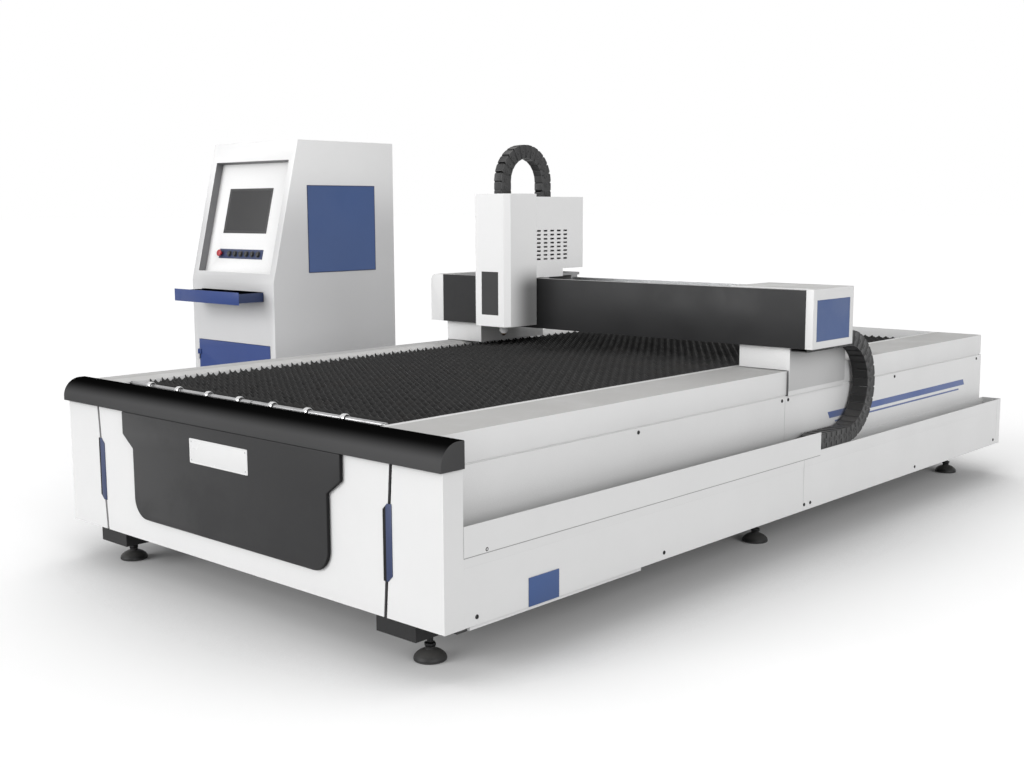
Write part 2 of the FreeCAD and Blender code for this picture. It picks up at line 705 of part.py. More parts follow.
def bend_links(centre, inner, outer, from_deg, to_deg, x0, width, pitch):
    """Links round a bend. Angles run from +Y towards +Z."""
    middle = (inner + outer) / 2
    sweep = math.radians(to_deg - from_deg)
    count = max(3, round(abs(sweep) * middle / pitch))
    step = sweep / count
    trim = math.copysign(CHAIN_GAP / inner, sweep)

    def at(radius, angle):
        return (centre[0] + radius * math.cos(angle), centre[1] + radius * math.sin(angle))

    links = []
    for i in range(count):
        a0 = math.radians(from_deg) + step * i
        a1 = a0 + step - trim
        links.append(chain_link([at(inner, a0), at(inner, a1), at(outer, a1), at(outer, a0)], x0, width))
    return links


def side_chain_run():
    """Lower run of the side chain, level as far as the raised screen and then lower, on the shelf."""
    high, low = chain_z + CHAIN_HEIGHT, chain_z + CHAIN_HEIGHT - CHAIN_DROP
    knee = CHAIN_DROP_Y - CHAIN_DROP_LENGTH
    points = [(chain_bend_y - CHAIN_GAP, high), (CHAIN_DROP_Y, high), (knee, low), (CHAIN_START_Y, low)]
    links = []
    for start, end in zip(points, points[1:]):
        links += straight_links(start, end, (0, -CHAIN_HEIGHT), chain_left, CHAIN_WIDTH, CHAIN_PITCH)
    return group(links)


def side_chain_bend():
    """Half-round bend of the side chain."""
    inner = CHAIN_OUTER_RADIUS - CHAIN_HEIGHT
    return group(bend_links((chain_bend_y, chain_axis_z), inner, CHAIN_OUTER_RADIUS, -90, 90, chain_left,
                            CHAIN_WIDTH, CHAIN_PITCH))


def side_chain_top():
    """Upper run of the side chain, which ends at the front wall of the pocket in the gantry's right box."""
    inner_z = chain_axis_z + CHAIN_OUTER_RADIUS - CHAIN_HEIGHT
    start = (chain_bend_y - CHAIN_GAP, inner_z)
    end = (tube_front + PANEL, inner_z)
    return group(straight_links(start, end, (0, CHAIN_HEIGHT), chain_left, CHAIN_WIDTH, CHAIN_PITCH))


def chain_shelf():
    """Folded shelf in the tray under the front part of the lower run."""
    x0, x1 = body_right + SHEET, right - 2 * SHEET
    z0, z1 = tray_floor_z + SHEET, chain_z - CHAIN_DROP
    outline = [(x0, z0), (x0, z1), (x1, z1), (x1, z0), (x1 - SHEET, z0), (x1 - SHEET, z1 - SHEET),
               (x0 + SHEET, z1 - SHEET), (x0 + SHEET, z0)]
    return along_y(outline, CHAIN_START_Y, CHAIN_DROP_Y - CHAIN_DROP_LENGTH)


def z_chain_leg(y, toward, z0, z1):
    """Leg of the head's chain between two heights. toward is +1 where its outer edge faces the rear."""
    inner = y - toward * Z_CHAIN_HEIGHT
    return group(straight_links((inner, z1 - CHAIN_GAP), (inner, z0), (toward * Z_CHAIN_HEIGHT, 0),
                                z_chain_left, Z_CHAIN_WIDTH, Z_CHAIN_PITCH))


def z_chain_arch():
    """Arch of the head's chain."""
    inner = Z_CHAIN_OUTER_RADIUS - Z_CHAIN_HEIGHT
    return group(bend_links((z_chain_axis_y, z_chain_axis_z), inner, Z_CHAIN_OUTER_RADIUS, 0, 180, z_chain_left,
                            Z_CHAIN_WIDTH, Z_CHAIN_PITCH))


# ---- gantry ----
def gantry_beam():
    """Rectangular tube across the bed."""
    x0, x1 = beam_left + SLIDE_GAP, skirt_x
    y0, y1 = tube_front, tube_front + BEAM_TUBE_DEPTH
    tube = box(x0, x1, y0, y1, gantry_z, tube_top_z)
    hollow = box(x0, x1, y0 + BEAM_WALL, y1 - BEAM_WALL, gantry_z + BEAM_WALL, tube_top_z - BEAM_WALL)
    return tube.cut(hollow)


def beam_front_cover():
    """Folded dark cover on the front of the beam."""
    y0, y1 = GANTRY_Y, tube_front
    t = BEAM_COVER_SHEET
    outline = [(y1, gantry_z), (y0, gantry_z), (y0, beam_top_z), (y1, beam_top_z), (y1, beam_top_z - t),
               (y0 + t, beam_top_z - t), (y0 + t, gantry_z + t), (y1, gantry_z + t)]
    return along_x(outline, beam_left, right)


def beam_end_boxes():
    """Left cap with a rounded corner, and the deeper right box with a pocket for the chain."""
    left_cap = box(cap_left, beam_left, GANTRY_Y, GANTRY_Y + BEAM_DEPTH, gantry_z, beam_top_z)
    corner = [e for e in left_cap.Edges if is_outer_top(e)]
    left_cap = left_cap.makeFillet(LEFT_CAP_ROUND, corner)
    z1 = beam_top_z + RIGHT_BOX_RISE
    y0, y1 = GANTRY_Y, GANTRY_Y + BEAM_DEPTH
    end = box(right, cap_right, y0, y1, gantry_z, z1)
    inner = cap_right - RIGHT_BOX_WIDTH
    roof = box(inner, cap_right, tube_front, y1, tube_top_z, z1)
    back = box(skirt_x, cap_right, tube_front, y1, gantry_z, z1)
    pocket = box(skirt_x, chain_left + CHAIN_WIDTH + CHAIN_POCKET, tube_front + PANEL, y1, gantry_z,
                 chain_axis_z + CHAIN_OUTER_RADIUS + CHAIN_POCKET)
    return group([left_cap, fused([end, roof, back]).cut(pocket)])


def is_outer_top(edge):
    """True for the left cap's upper outer edge along Y."""
    ends = [v.Point for v in edge.Vertexes]
    return all(abs(p.x - cap_left) < 0.1 and abs(p.z - beam_top_z) < 0.1 for p in ends)


def gantry_feet():
    """Hollow feet under the beam, with skirts outside the rail covers."""
    right_outer = skirt_x + GANTRY_SKIRT
    left_outer = body_left - GANTRY_ARM - GANTRY_SKIRT
    feet = []
    for outer, inward in ((right_outer, -1), (left_outer, 1)):
        inner = outer + inward * (GANTRY_FOOT_WIDTH + GANTRY_ARM + GANTRY_SKIRT)
        skirt_in = outer + inward * GANTRY_SKIRT
        outline = [(outer, seam_z + GANTRY_SKIRT_RISE), (outer, gantry_z), (inner, gantry_z), (inner, foot_z),
                   (skirt_in, foot_z), (skirt_in, seam_z + GANTRY_SKIRT_RISE)]
        feet.append(along_y(outline, foot_front, foot_rear))
    return group(feet)


def gantry_carriage(guide_x, body_x, outward):
    """Carriage plate on two guide blocks, with the arm that goes out through the slot and up to the foot."""
    plate_z = slot_z + (SLOT_HEIGHT - TONGUE) / 2
    y0 = foot_front
    y1 = y0 + CARRIAGE_LENGTH
    reach = BLOCK_WIDTH / 2 + GUIDE_WIDTH / 2
    inner = rack_x(guide_x, outward) - outward * 2 * PINION_RADIUS
    edge = body_x - outward * (PANEL + SHEET)
    arm_in, arm_out = body_x + outward * SLIDE_GAP, body_x + outward * GANTRY_ARM
    plate_edge = min(abs(edge), abs(guide_x) + reach) * outward
    plate = box(min(inner, plate_edge), max(inner, plate_edge), y0, y1, plate_z, plate_z + CARRIAGE_PLATE)
    tongue = box(min(inner, arm_out), max(inner, arm_out), y0, y1, plate_z, plate_z + TONGUE)
    arm = box(min(arm_in, arm_out), max(arm_in, arm_out), y0, y1, plate_z, foot_z)
    half = BLOCK_WIDTH / 2
    top = plate_z
    bottom = beam_z + GUIDE_HEIGHT / 3
    shapes = [plate, tongue, arm]
    for y in (y0, y1 - BLOCK_LENGTH):
        block = box(guide_x - half, guide_x + half, y, y + BLOCK_LENGTH, bottom, top)
        groove = box(guide_x - GUIDE_WIDTH / 2 - RUN_GAP, guide_x + GUIDE_WIDTH / 2 + RUN_GAP, y, y + BLOCK_LENGTH,
                     bottom, beam_z + GUIDE_HEIGHT)
        shapes.append(block.cut(groove))
    solid = fused(shapes)
    x, y = pinion_place(guide_x, outward)
    bore = rod(PINION_SHAFT_RADIUS + RUN_GAP, V(x, y, plate_z), V(x, y, plate_z + CARRIAGE_PLATE))
    return solid.cut(bore)


def gantry_carriages():
    """The two carriages."""
    return group([gantry_carriage(guide_left_x, body_left, -1), gantry_carriage(guide_right_x, body_right, 1)])


def pinion_place(guide_x, outward):
    """Axis of a drive pinion beside its rack."""
    x = rack_x(guide_x, outward) - outward * (PINION_RADIUS + RUN_GAP)
    return x, foot_front + CARRIAGE_LENGTH / 2


def pinion(guide_x, outward):
    """Toothed pinion on its upright shaft, which a collar holds on the carriage plate."""
    x, y = pinion_place(guide_x, outward)
    plate_z = slot_z + (SLOT_HEIGHT - TONGUE) / 2
    z1 = plate_z - SLIDE_GAP
    root = PINION_RADIUS - PINION_TOOTH
    outline = []
    for i in range(2 * PINION_TEETH):
        radius = PINION_RADIUS if i % 2 == 0 else root
        turn = math.pi * i / PINION_TEETH
        outline.append((x + radius * math.cos(turn), y + radius * math.sin(turn)))
    gear = along_z(outline, z1 - PINION_HEIGHT, z1)
    top = plate_z + CARRIAGE_PLATE
    shaft = rod(PINION_SHAFT_RADIUS, V(x, y, z1 - PINION_HEIGHT), V(x, y, top + PINION_RADIUS))
    collar = rod(root, V(x, y, top + RUN_GAP), V(x, y, top + PINION_RADIUS))
    return fused([gear, shaft, collar])


def x_rails():
    """Guide rails on top of the beam."""
    x0, x1 = beam_left + SLIDE_GAP, right - RIGHT_BOX_WIDTH + RIGHT_CAP_WIDTH
    rows = (tube_front + X_RAIL_INSET, tube_front + BEAM_TUBE_DEPTH - X_RAIL_INSET)
    half = X_RAIL_WIDTH / 2
    return group([box(x0, x1, y - half, y + half, tube_top_z, tube_top_z + X_RAIL_HEIGHT) for y in rows])


# ---- cutting head ----
def x_carriage():
    """Bracket that rides on the beam and hangs down in front of it."""
    half = HEAD_WIDTH / 2 - SHEET
    x0, x1 = HEAD_X - half, HEAD_X + half
    y1 = tube_front + BEAM_TUBE_DEPTH
    upright = box(x0, x1, plate_front, plate_rear, head_z + NOZZLE_REACH / 2, head_rear_top_z - Z_CHAIN_CROWN)
    top = box(x0, x1, plate_front, y1, carriage_z, carriage_z + HEAD_PLATE)
    shapes = [upright, top]
    rows = (tube_front + X_RAIL_INSET, tube_front + BEAM_TUBE_DEPTH - X_RAIL_INSET)
    bottom = tube_top_z + X_RAIL_HEIGHT / 3
    for y in rows:
        block = box(x0, x1, y - X_RAIL_WIDTH, y + X_RAIL_WIDTH, bottom, carriage_z)
        groove = box(x0, x1, y - X_RAIL_WIDTH / 2 - RUN_GAP, y + X_RAIL_WIDTH / 2 + RUN_GAP, bottom,
                     tube_top_z + X_RAIL_HEIGHT)
        shapes.append(block.cut(groove))
    post_z = head_rear_top_z - Z_CHAIN_CROWN
    post = box(z_chain_left, z_chain_left + Z_CHAIN_WIDTH, z_chain_rear - Z_CHAIN_HEIGHT, z_chain_rear,
               carriage_z, post_z)
    shapes.append(post)
    for side in (-1, 1):
        x = HEAD_X + side * Z_RAIL_SPREAD / 2
        shapes.append(box(x - Z_RAIL_WIDTH / 2, x + Z_RAIL_WIDTH / 2, plate_front - Z_RAIL_DEPTH, plate_front,
                          head_z + NOZZLE_REACH / 2, post_z))
    return fused(shapes)


def head_front_cover():
    """Cover of the cutting head, open below and behind, with chamfered front corners and a window."""
    def outline(wall, rear):
        x0, x1, y0 = head_left + wall, head_right - wall, head_front + wall
        cx, cy = HEAD_CHAMFER_X, HEAD_CHAMFER_Y
        return [(x0, rear), (x0, y0 + cy), (x0 + cx, y0), (x1 - cx, y0), (x1, y0 + cy), (x1, rear)]

    shell = along_z(outline(0, head_rear), head_z, head_top_z)
    hollow = along_z(outline(SHEET, head_rear), head_z, head_top_z - SHEET)
    leg = box(z_chain_left - Z_CHAIN_HOLE_GAP, z_chain_left + Z_CHAIN_WIDTH + Z_CHAIN_HOLE_GAP,
              z_chain_front - Z_CHAIN_HOLE_GAP, z_chain_front + Z_CHAIN_HEIGHT + Z_CHAIN_HOLE_GAP,
              head_top_z - SHEET, head_top_z)
    return shell.cut(hollow).cut(leg).cut(window_block(0, SHEET))


def window_block(gap, depth):
    """Block in the window's place, smaller than the opening by a gap."""
    x = HEAD_X + WINDOW_SHIFT
    z0 = head_z + WINDOW_RISE
    return box(x - WINDOW_WIDTH / 2 + gap, x + WINDOW_WIDTH / 2 - gap, head_front, head_front + depth, z0 + gap,
               z0 + WINDOW_HEIGHT - gap)


def head_window():
    """Dark pane that fills the opening, with a rim behind the sheet."""
    x = HEAD_X + WINDOW_SHIFT
    z0 = head_z + WINDOW_RISE
    rim = 4 * SHEET
    pane = window_block(RUN_GAP, SHEET)
    back = box(x - WINDOW_WIDTH / 2 - rim, x + WINDOW_WIDTH / 2 + rim, head_front + SHEET,
               head_front + 2 * SHEET, z0 - rim, z0 + WINDOW_HEIGHT + rim)
    return fused([pane, back])


def head_rear_cover():
    """Stepped cover behind the upright plate, with a grille of slots in its right side."""
    y0, y1 = head_rear, head_rear + HEAD_REAR_DEPTH
    z0, z1 = carriage_z - HEAD_REAR_GAP / 2, head_rear_top_z
    step_y = y0 + HEAD_REAR_STEP_Y
    outline = [(y0, z0), (step_y, z0), (step_y, z0 + HEAD_REAR_STEP), (y1, z0 + HEAD_REAR_STEP), (y1, z1), (y0, z1)]
    inner = [(y0, z0), (step_y, z0), (step_y, z0 + HEAD_REAR_STEP), (y1 - SHEET, z0 + HEAD_REAR_STEP),
             (y1 - SHEET, z1 - SHEET), (y0, z1 - SHEET)]
    shell = along_x(outline, head_left, head_right).cut(along_x(inner, head_left + SHEET, head_right - SHEET))
    leg = box(z_chain_left - Z_CHAIN_HOLE_GAP, z_chain_left + Z_CHAIN_WIDTH + Z_CHAIN_HOLE_GAP,
              z_chain_rear - Z_CHAIN_HEIGHT - Z_CHAIN_HOLE_GAP, z_chain_rear + Z_CHAIN_HOLE_GAP, z1 - SHEET, z1)
    slots = []
    for column in range(VENT_COLUMNS):
        for row in range(VENT_ROWS):
            y = y0 + VENT_FIRST_Y + column * VENT_PITCH_Y - VENT_LENGTH / 2
            z = z1 - VENT_TOP_DROP - row * VENT_PITCH_Z - VENT_HEIGHT / 2
            slots.append(box(head_right - SHEET, head_right, y, y + VENT_LENGTH, z, z + VENT_HEIGHT))
    return shell.cut(leg).cut(group(slots))


def laser_top_z():
    """Height of the top of the Z slide plate."""
    return head_z + NOZZLE_REACH / 2 + SLAT_TOOTH_DEPTH + Z_PLATE_HEIGHT


def cutting_head():
    """Laser head on its slide plate, with guide blocks, collimator tube and chain bracket."""
    half = LASER_BODY / 2
    z0 = head_z + SLIDE_GAP * 10
    z1 = z0 + LASER_BODY_HEIGHT
    slide_front = plate_front - 2 * Z_RAIL_DEPTH - Z_PLATE
    body = box(HEAD_X - half, HEAD_X + half, head_axis_y - half, slide_front, z0, z1)
    tube = rod(LASER_TUBE_RADIUS, V(HEAD_X, head_axis_y, z1), V(HEAD_X, head_axis_y, z1 + LASER_TUBE_HEIGHT))
    collar = rod(LASER_COLLAR_RADIUS, V(HEAD_X, head_axis_y, nozzle_top_z), V(HEAD_X, head_axis_y, z0))
    top = laser_top_z()
    wide = Z_RAIL_SPREAD / 2 + Z_RAIL_WIDTH
    plate = box(HEAD_X - wide, HEAD_X + wide, slide_front, slide_front + Z_PLATE, top - Z_PLATE_HEIGHT, top)
    shapes = [body, tube, collar, plate]
    for side in (-1, 1):
        x = HEAD_X + side * Z_RAIL_SPREAD / 2
        rail = Z_RAIL_WIDTH / 2 + RUN_GAP
        for z in (top - Z_PLATE_HEIGHT, top - BLOCK_WIDTH):
            block = box(x - Z_RAIL_WIDTH, x + Z_RAIL_WIDTH, slide_front + Z_PLATE, plate_front - SLIDE_GAP, z, z + BLOCK_WIDTH)
            groove = box(x - rail, x + rail, plate_front - Z_RAIL_DEPTH - RUN_GAP, plate_front, z, z + BLOCK_WIDTH)
            shapes.append(block.cut(groove))
    bracket = box(z_chain_left, z_chain_left + Z_CHAIN_WIDTH, z_chain_front, slide_front + Z_PLATE, top,
                  top + LEDGE_THICKNESS)
    shapes.append(bracket)
    return fused(shapes)


nozzle_tip_z = head_z - NOZZLE_REACH
nozzle_top_z = nozzle_tip_z + NOZZLE_HEIGHT


def nozzle():
    """Conical nozzle with a through bore."""
    brim = nozzle_top_z - NOZZLE_HEIGHT / 4
    outline = [(NOZZLE_BORE_RADIUS, nozzle_tip_z), (NOZZLE_TIP_RADIUS, nozzle_tip_z), (NOZZLE_RADIUS, brim),
               (NOZZLE_RADIUS, nozzle_top_z), (NOZZLE_BORE_RADIUS, nozzle_top_z)]
    profile = face_of([V(HEAD_X + r, head_axis_y, z) for r, z in outline])
    return profile.revolve(V(HEAD_X, head_axis_y, 0), UP, 360)


# ---- control cabinet ----
def on_slant(shape):
    """Shape drawn flat, with X across, Y up the slant and Z out of it, set on the slanted face."""
    turned = shape.copy()
    turned.rotate(V(0, 0, 0), V(1, 0, 0), 90 - slant_angle)
    turned.translate(V(cabinet_x, CABINET_FRONT_Y, CABINET_KNEE))
    return turned


def cabinet_outline():
    """Side view of the cabinet as Y-Z points, anticlockwise."""
    return [(CABINET_FRONT_Y, 0), (cabinet_rear, 0), (cabinet_rear, CABINET_HEIGHT),
            (CABINET_FRONT_Y + CABINET_LEAN, CABINET_HEIGHT), (CABINET_FRONT_Y, CABINET_KNEE)]


def cabinet_shell():
    """Folded shell with openings for the console, the drawer and the door."""
    outline = cabinet_outline()
    shell = along_x(outline, cabinet_left, cabinet_right)
    hollow = along_x(inset(outline, SHEET), cabinet_left + SHEET, cabinet_right - SHEET)
    half = CABINET_WIDTH / 2 - CONSOLE_MARGIN_X
    console = on_slant(box(-half, half, CONSOLE_BOTTOM, slant_length - CONSOLE_TOP_MARGIN, -CONSOLE_DEPTH, SHEET))
    y0, y1 = CABINET_FRONT_Y - SHEET, CABINET_FRONT_Y + 2 * SHEET
    wide = DRAWER_WIDTH / 2 + SLIDE_GAP * 3
    drawer = box(cabinet_x - wide, cabinet_x + wide, y0, y1, DRAWER_BOTTOM - SLIDE_GAP,
                 DRAWER_BOTTOM + DRAWER_HEIGHT + SLIDE_GAP * 3)
    door_half = CABINET_WIDTH / 2 - DOOR_MARGIN_X + DOOR_GAP
    door = box(cabinet_x - door_half, cabinet_x + door_half, y0, y1, DOOR_BOTTOM - DOOR_GAP,
               DOOR_BOTTOM + DOOR_HEIGHT + DOOR_GAP)
    shell = shell.cut(hollow).cut(console).cut(drawer).cut(door)
    x, y = hinge_place()
    pieces = [shell]
    for z in hinge_heights():
        pieces.append(rod(HINGE_RADIUS, V(x, y, z - HINGE_KNUCKLE), V(x, y, z - RUN_GAP)))
        pieces.append(box(x - HINGE_LUG, x, y, CABINET_FRONT_Y + SHEET, z - HINGE_KNUCKLE, z - RUN_GAP))
    return fused(pieces)


def hinge_place():
    """Axis of the door's hinges, in front of its left edge."""
    return cabinet_x - CABINET_WIDTH / 2 + DOOR_MARGIN_X, CABINET_FRONT_Y - SHEET - HINGE_STANDOFF


def hinge_heights():
    """Heights at which the door's knuckles stand on those of the shell."""
    return DOOR_BOTTOM + HINGE_MARGIN, DOOR_BOTTOM + DOOR_HEIGHT - HINGE_MARGIN


def console_half():
    """Half the width of the console pan."""
    return CABINET_WIDTH / 2 - CONSOLE_MARGIN_X


def button_x(index):
    """Place of a button across the console."""
    return CONSOLE_SHIFT - STRIP_WIDTH / 2 + BUTTON_FIRST + index * BUTTON_PITCH


def stop_x():
    """Place of the emergency stop across the console."""
    return CONSOLE_SHIFT - STRIP_WIDTH / 2 + STOP_X


def strip_middle():
    """Height of the button row up the slant."""
    return STRIP_BOTTOM + STRIP_HEIGHT / 2


def console_panel():
    """Recessed pan that holds the screen and the buttons."""
    half = console_half()
    low, high = CONSOLE_BOTTOM, slant_length - CONSOLE_TOP_MARGIN
    pan = box(-half, half, low, high, -CONSOLE_DEPTH, 0)
    hollow = box(-half + SHEET, half - SHEET, low + SHEET, high - SHEET, -CONSOLE_DEPTH + SHEET, 0)
    strip_half = STRIP_WIDTH / 2
    strip = box(CONSOLE_SHIFT - strip_half, CONSOLE_SHIFT + strip_half, STRIP_BOTTOM, STRIP_BOTTOM + STRIP_HEIGHT,
                -CONSOLE_DEPTH, -CONSOLE_DEPTH + BUTTON_SKIN)
    screen_half = SCREEN_WIDTH / 2
    screen_hole = box(CONSOLE_SHIFT - screen_half, CONSOLE_SHIFT + screen_half, SCREEN_BOTTOM,
                      SCREEN_BOTTOM + SCREEN_HEIGHT, -CONSOLE_DEPTH, 0)
    solid = fused([pan.cut(hollow), strip]).cut(screen_hole)
    holes = [console_bore(button_x(i)) for i in range(BUTTON_COUNT)]
    holes.append(console_bore(stop_x()))
    return on_slant(solid.cut(group(holes)))


def console_bore(x):
    """Bore for a button stem through the strip."""
    y = strip_middle()
    return rod(BUTTON_STEM_RADIUS + RUN_GAP, V(x, y, -CONSOLE_DEPTH), V(x, y, -CONSOLE_DEPTH + BUTTON_SKIN))


def screen():
    """Flat screen in its opening, with a rim behind the pan."""
    w, h = SCREEN_WIDTH / 2, SCREEN_HEIGHT
    x = CONSOLE_SHIFT
    glass = box(x - w + RUN_GAP, x + w - RUN_GAP, SCREEN_BOTTOM + RUN_GAP, SCREEN_BOTTOM + h - RUN_GAP,
                -CONSOLE_DEPTH - SCREEN_THICKNESS, -CONSOLE_DEPTH + 2 * SHEET)
    rim = PANEL
    body = box(x - w - rim, x + w + rim, SCREEN_BOTTOM - rim, SCREEN_BOTTOM + h + rim,
               -CONSOLE_DEPTH - SCREEN_THICKNESS * 2, -CONSOLE_DEPTH)
    return on_slant(fused([glass, body]))


def push_button(x, radius, rise, travel):
    """Round cap on a stem that slides in the strip, with a retaining disc behind it."""
    y = strip_middle()
    face = -CONSOLE_DEPTH + BUTTON_SKIN
    cap = rod(radius, V(x, y, face + travel + RUN_GAP), V(x, y, face + travel + rise))
    back = -CONSOLE_DEPTH - RUN_GAP
    stem = rod(BUTTON_STEM_RADIUS, V(x, y, back), V(x, y, face + travel + RUN_GAP))
    disc = rod(BUTTON_STEM_RADIUS * 1.4, V(x, y, back - SHEET), V(x, y, back))
    return on_slant(fused([cap, stem, disc]))


def keyboard_drawer():
    """Open drawer with a wide front plate, drawn part of the way out."""
    front = CABINET_FRONT_Y - DRAWER_OUT
    back = front + DRAWER_PLATE_THICKNESS
    half = DRAWER_WIDTH / 2
    z0, z1 = DRAWER_BOTTOM, DRAWER_BOTTOM + DRAWER_HEIGHT
    tray = box(cabinet_x - half, cabinet_x + half, back, back + DRAWER_DEPTH, z0, z1)
    hollow = box(cabinet_x - half + SHEET, cabinet_x + half - SHEET, back + SHEET, back + DRAWER_DEPTH - SHEET,
                 z0 + SHEET, z1)
    wide = DRAWER_PLATE_WIDTH / 2
    drop = (DRAWER_PLATE_HEIGHT - DRAWER_HEIGHT) / 2
    plate = box(cabinet_x - wide, cabinet_x + wide, front, back, z0 - drop, z1 + drop)
    return fused([tray.cut(hollow), plate])


def drawer_runners():
    """Two runners behind the opening that carry the drawer."""
    half = DRAWER_WIDTH / 2
    y0 = CABINET_FRONT_Y + SHEET
    z1 = DRAWER_BOTTOM - RUN_GAP
    spans = ((-half, -half + RUNNER_WIDTH), (half - RUNNER_WIDTH, half))
    return group([box(cabinet_x + a, cabinet_x + b, y0, y0 + DRAWER_DEPTH, z1 - RUNNER_HEIGHT, z1) for a, b in spans])


def cabinet_door():
    """Door with a turned-back rim, flush in its opening, with its hinge knuckles."""
    half = CABINET_WIDTH / 2 - DOOR_MARGIN_X
    y0, y1 = CABINET_FRONT_Y - SHEET, CABINET_FRONT_Y + DOOR_THICKNESS
    z0, z1 = DOOR_BOTTOM, DOOR_BOTTOM + DOOR_HEIGHT
    leaf = box(cabinet_x - half, cabinet_x + half, y0, y1, z0, z1)
    hollow = box(cabinet_x - half + SHEET, cabinet_x + half - SHEET, y0 + SHEET, y1, z0 + SHEET, z1 - SHEET)
    x, z = latch_place()
    bore = rod(LATCH_RADIUS / 2 + RUN_GAP, V(x, y0, z), V(x, y1, z))
    hinge_x, hinge_y = hinge_place()
    pieces = [leaf.cut(hollow).cut(bore)]
    for low in hinge_heights():
        high = low + HINGE_KNUCKLE
        pieces.append(rod(HINGE_RADIUS, V(hinge_x, hinge_y, low), V(hinge_x, hinge_y, high)))
        pieces.append(box(hinge_x, hinge_x + HINGE_LUG, hinge_y, y0 + SHEET, low, high))
    return fused(pieces)


def latch_place():
    """Place of the quarter-turn latch on the door."""
    return cabinet_x + CABINET_WIDTH / 2 - DOOR_MARGIN_X - LATCH_INSET, DOOR_BOTTOM + DOOR_HEIGHT / 2


def door_latch():
    """Quarter-turn latch with a wing outside and a cam inside."""
    x, z = latch_place()
    y0 = CABINET_FRONT_Y - SHEET
    knob = rod(LATCH_RADIUS, V(x, y0 - LATCH_RISE / 2, z), V(x, y0 - RUN_GAP, z))
    wing = box(x - LATCH_RADIUS / 4, x + LATCH_RADIUS / 4, y0 - LATCH_RISE, y0 - LATCH_RISE / 2,
               z - LATCH_RADIUS * 0.9, z + LATCH_RADIUS * 0.9)
    back = CABINET_FRONT_Y + SHEET + RUN_GAP
    shaft = rod(LATCH_RADIUS / 2, V(x, y0 - LATCH_RISE / 2, z), V(x, back, z))
    cam = box(x - LATCH_RADIUS / 2, x + LATCH_INSET - 2 * SHEET, back, back + 2 * SHEET, z - LATCH_RADIUS / 2,
              z + LATCH_RADIUS / 2)
    return fused([knob, wing, shaft, cam])


# ---- all nodes ----
def build():
    """Every node by name."""
    nodes = {
        "base_rails": base_rails(),
        "side_beams": side_beams(),
        "cross_members": cross_members(),
        "slat_ledges": slat_ledges(),
        "slats": slats(),
        "rail_covers": group([rail_cover(body_left, field_left), rail_cover(body_right, field_right)]),
        "linear_rails": linear_rails(),
        "drive_racks": drive_racks(),
        "cable_tray": group([cable_tray(), chain_shelf()]),
        "left_side_casing": left_side_casing(),
        "right_side_casing": right_side_casing(),
        "front_casing": front_casing(),
        "front_deck": front_deck(),
        "rear_panel": rear_panel(),
        "front_bumper": front_bumper(),
        "front_apron": front_apron(),
        "cover_plates": cover_plates(),
        "levelling_feet": levelling_feet(),
        "roller_shaft": roller_shaft(),
        "side_chain_run": side_chain_run(),
        "side_chain_bend": side_chain_bend(),
        "side_chain_top": side_chain_top(),
        "gantry_beam": gantry_beam(),
        "beam_front_cover": beam_front_cover(),
        "beam_end_boxes": beam_end_boxes(),
        "gantry_feet": gantry_feet(),
        "gantry_carriages": gantry_carriages(),
        "left_pinion": pinion(guide_left_x, -1),
        "right_pinion": pinion(guide_right_x, 1),
        "x_rails": x_rails(),
        "x_carriage": x_carriage(),
        "head_front_cover": head_front_cover(),
        "head_rear_cover": head_rear_cover(),
        "head_window": head_window(),
        "cutting_head": cutting_head(),
        "nozzle": nozzle(),
        "z_chain_front_leg": z_chain_leg(z_chain_front, -1, laser_top_z() + LEDGE_THICKNESS, z_chain_axis_z),
        "z_chain_rear_leg": z_chain_leg(z_chain_rear, 1, head_rear_top_z - Z_CHAIN_CROWN, z_chain_axis_z),
        "z_chain_arch": z_chain_arch(),
        "cabinet_shell": cabinet_shell(),
        "console_panel": console_panel(),
        "screen": screen(),
        "keyboard_drawer": keyboard_drawer(),
        "drawer_runners": drawer_runners(),
        "cabinet_door": cabinet_door(),
        "door_latch": door_latch(),
        "emergency_stop": push_button(stop_x(), STOP_RADIUS, STOP_RISE, 5.0),
    }
    for i in range(ROLLER_COUNT):
        nodes[f"roller_wheel_{i + 1}"] = roller_wheel(i)
    for i in range(BUTTON_COUNT):
        nodes[f"button_{i + 1}"] = push_button(button_x(i), BUTTON_RADIUS, BUTTON_RISE, 3.0)
    return nodes


def main():
    """Writes one STEP file for each node."""
    os.makedirs("parts", exist_ok=True)
    for name, shape in build().items():
        shape.translated(ORIGIN.negative()).exportStep(f"parts/{name}.step")


main()
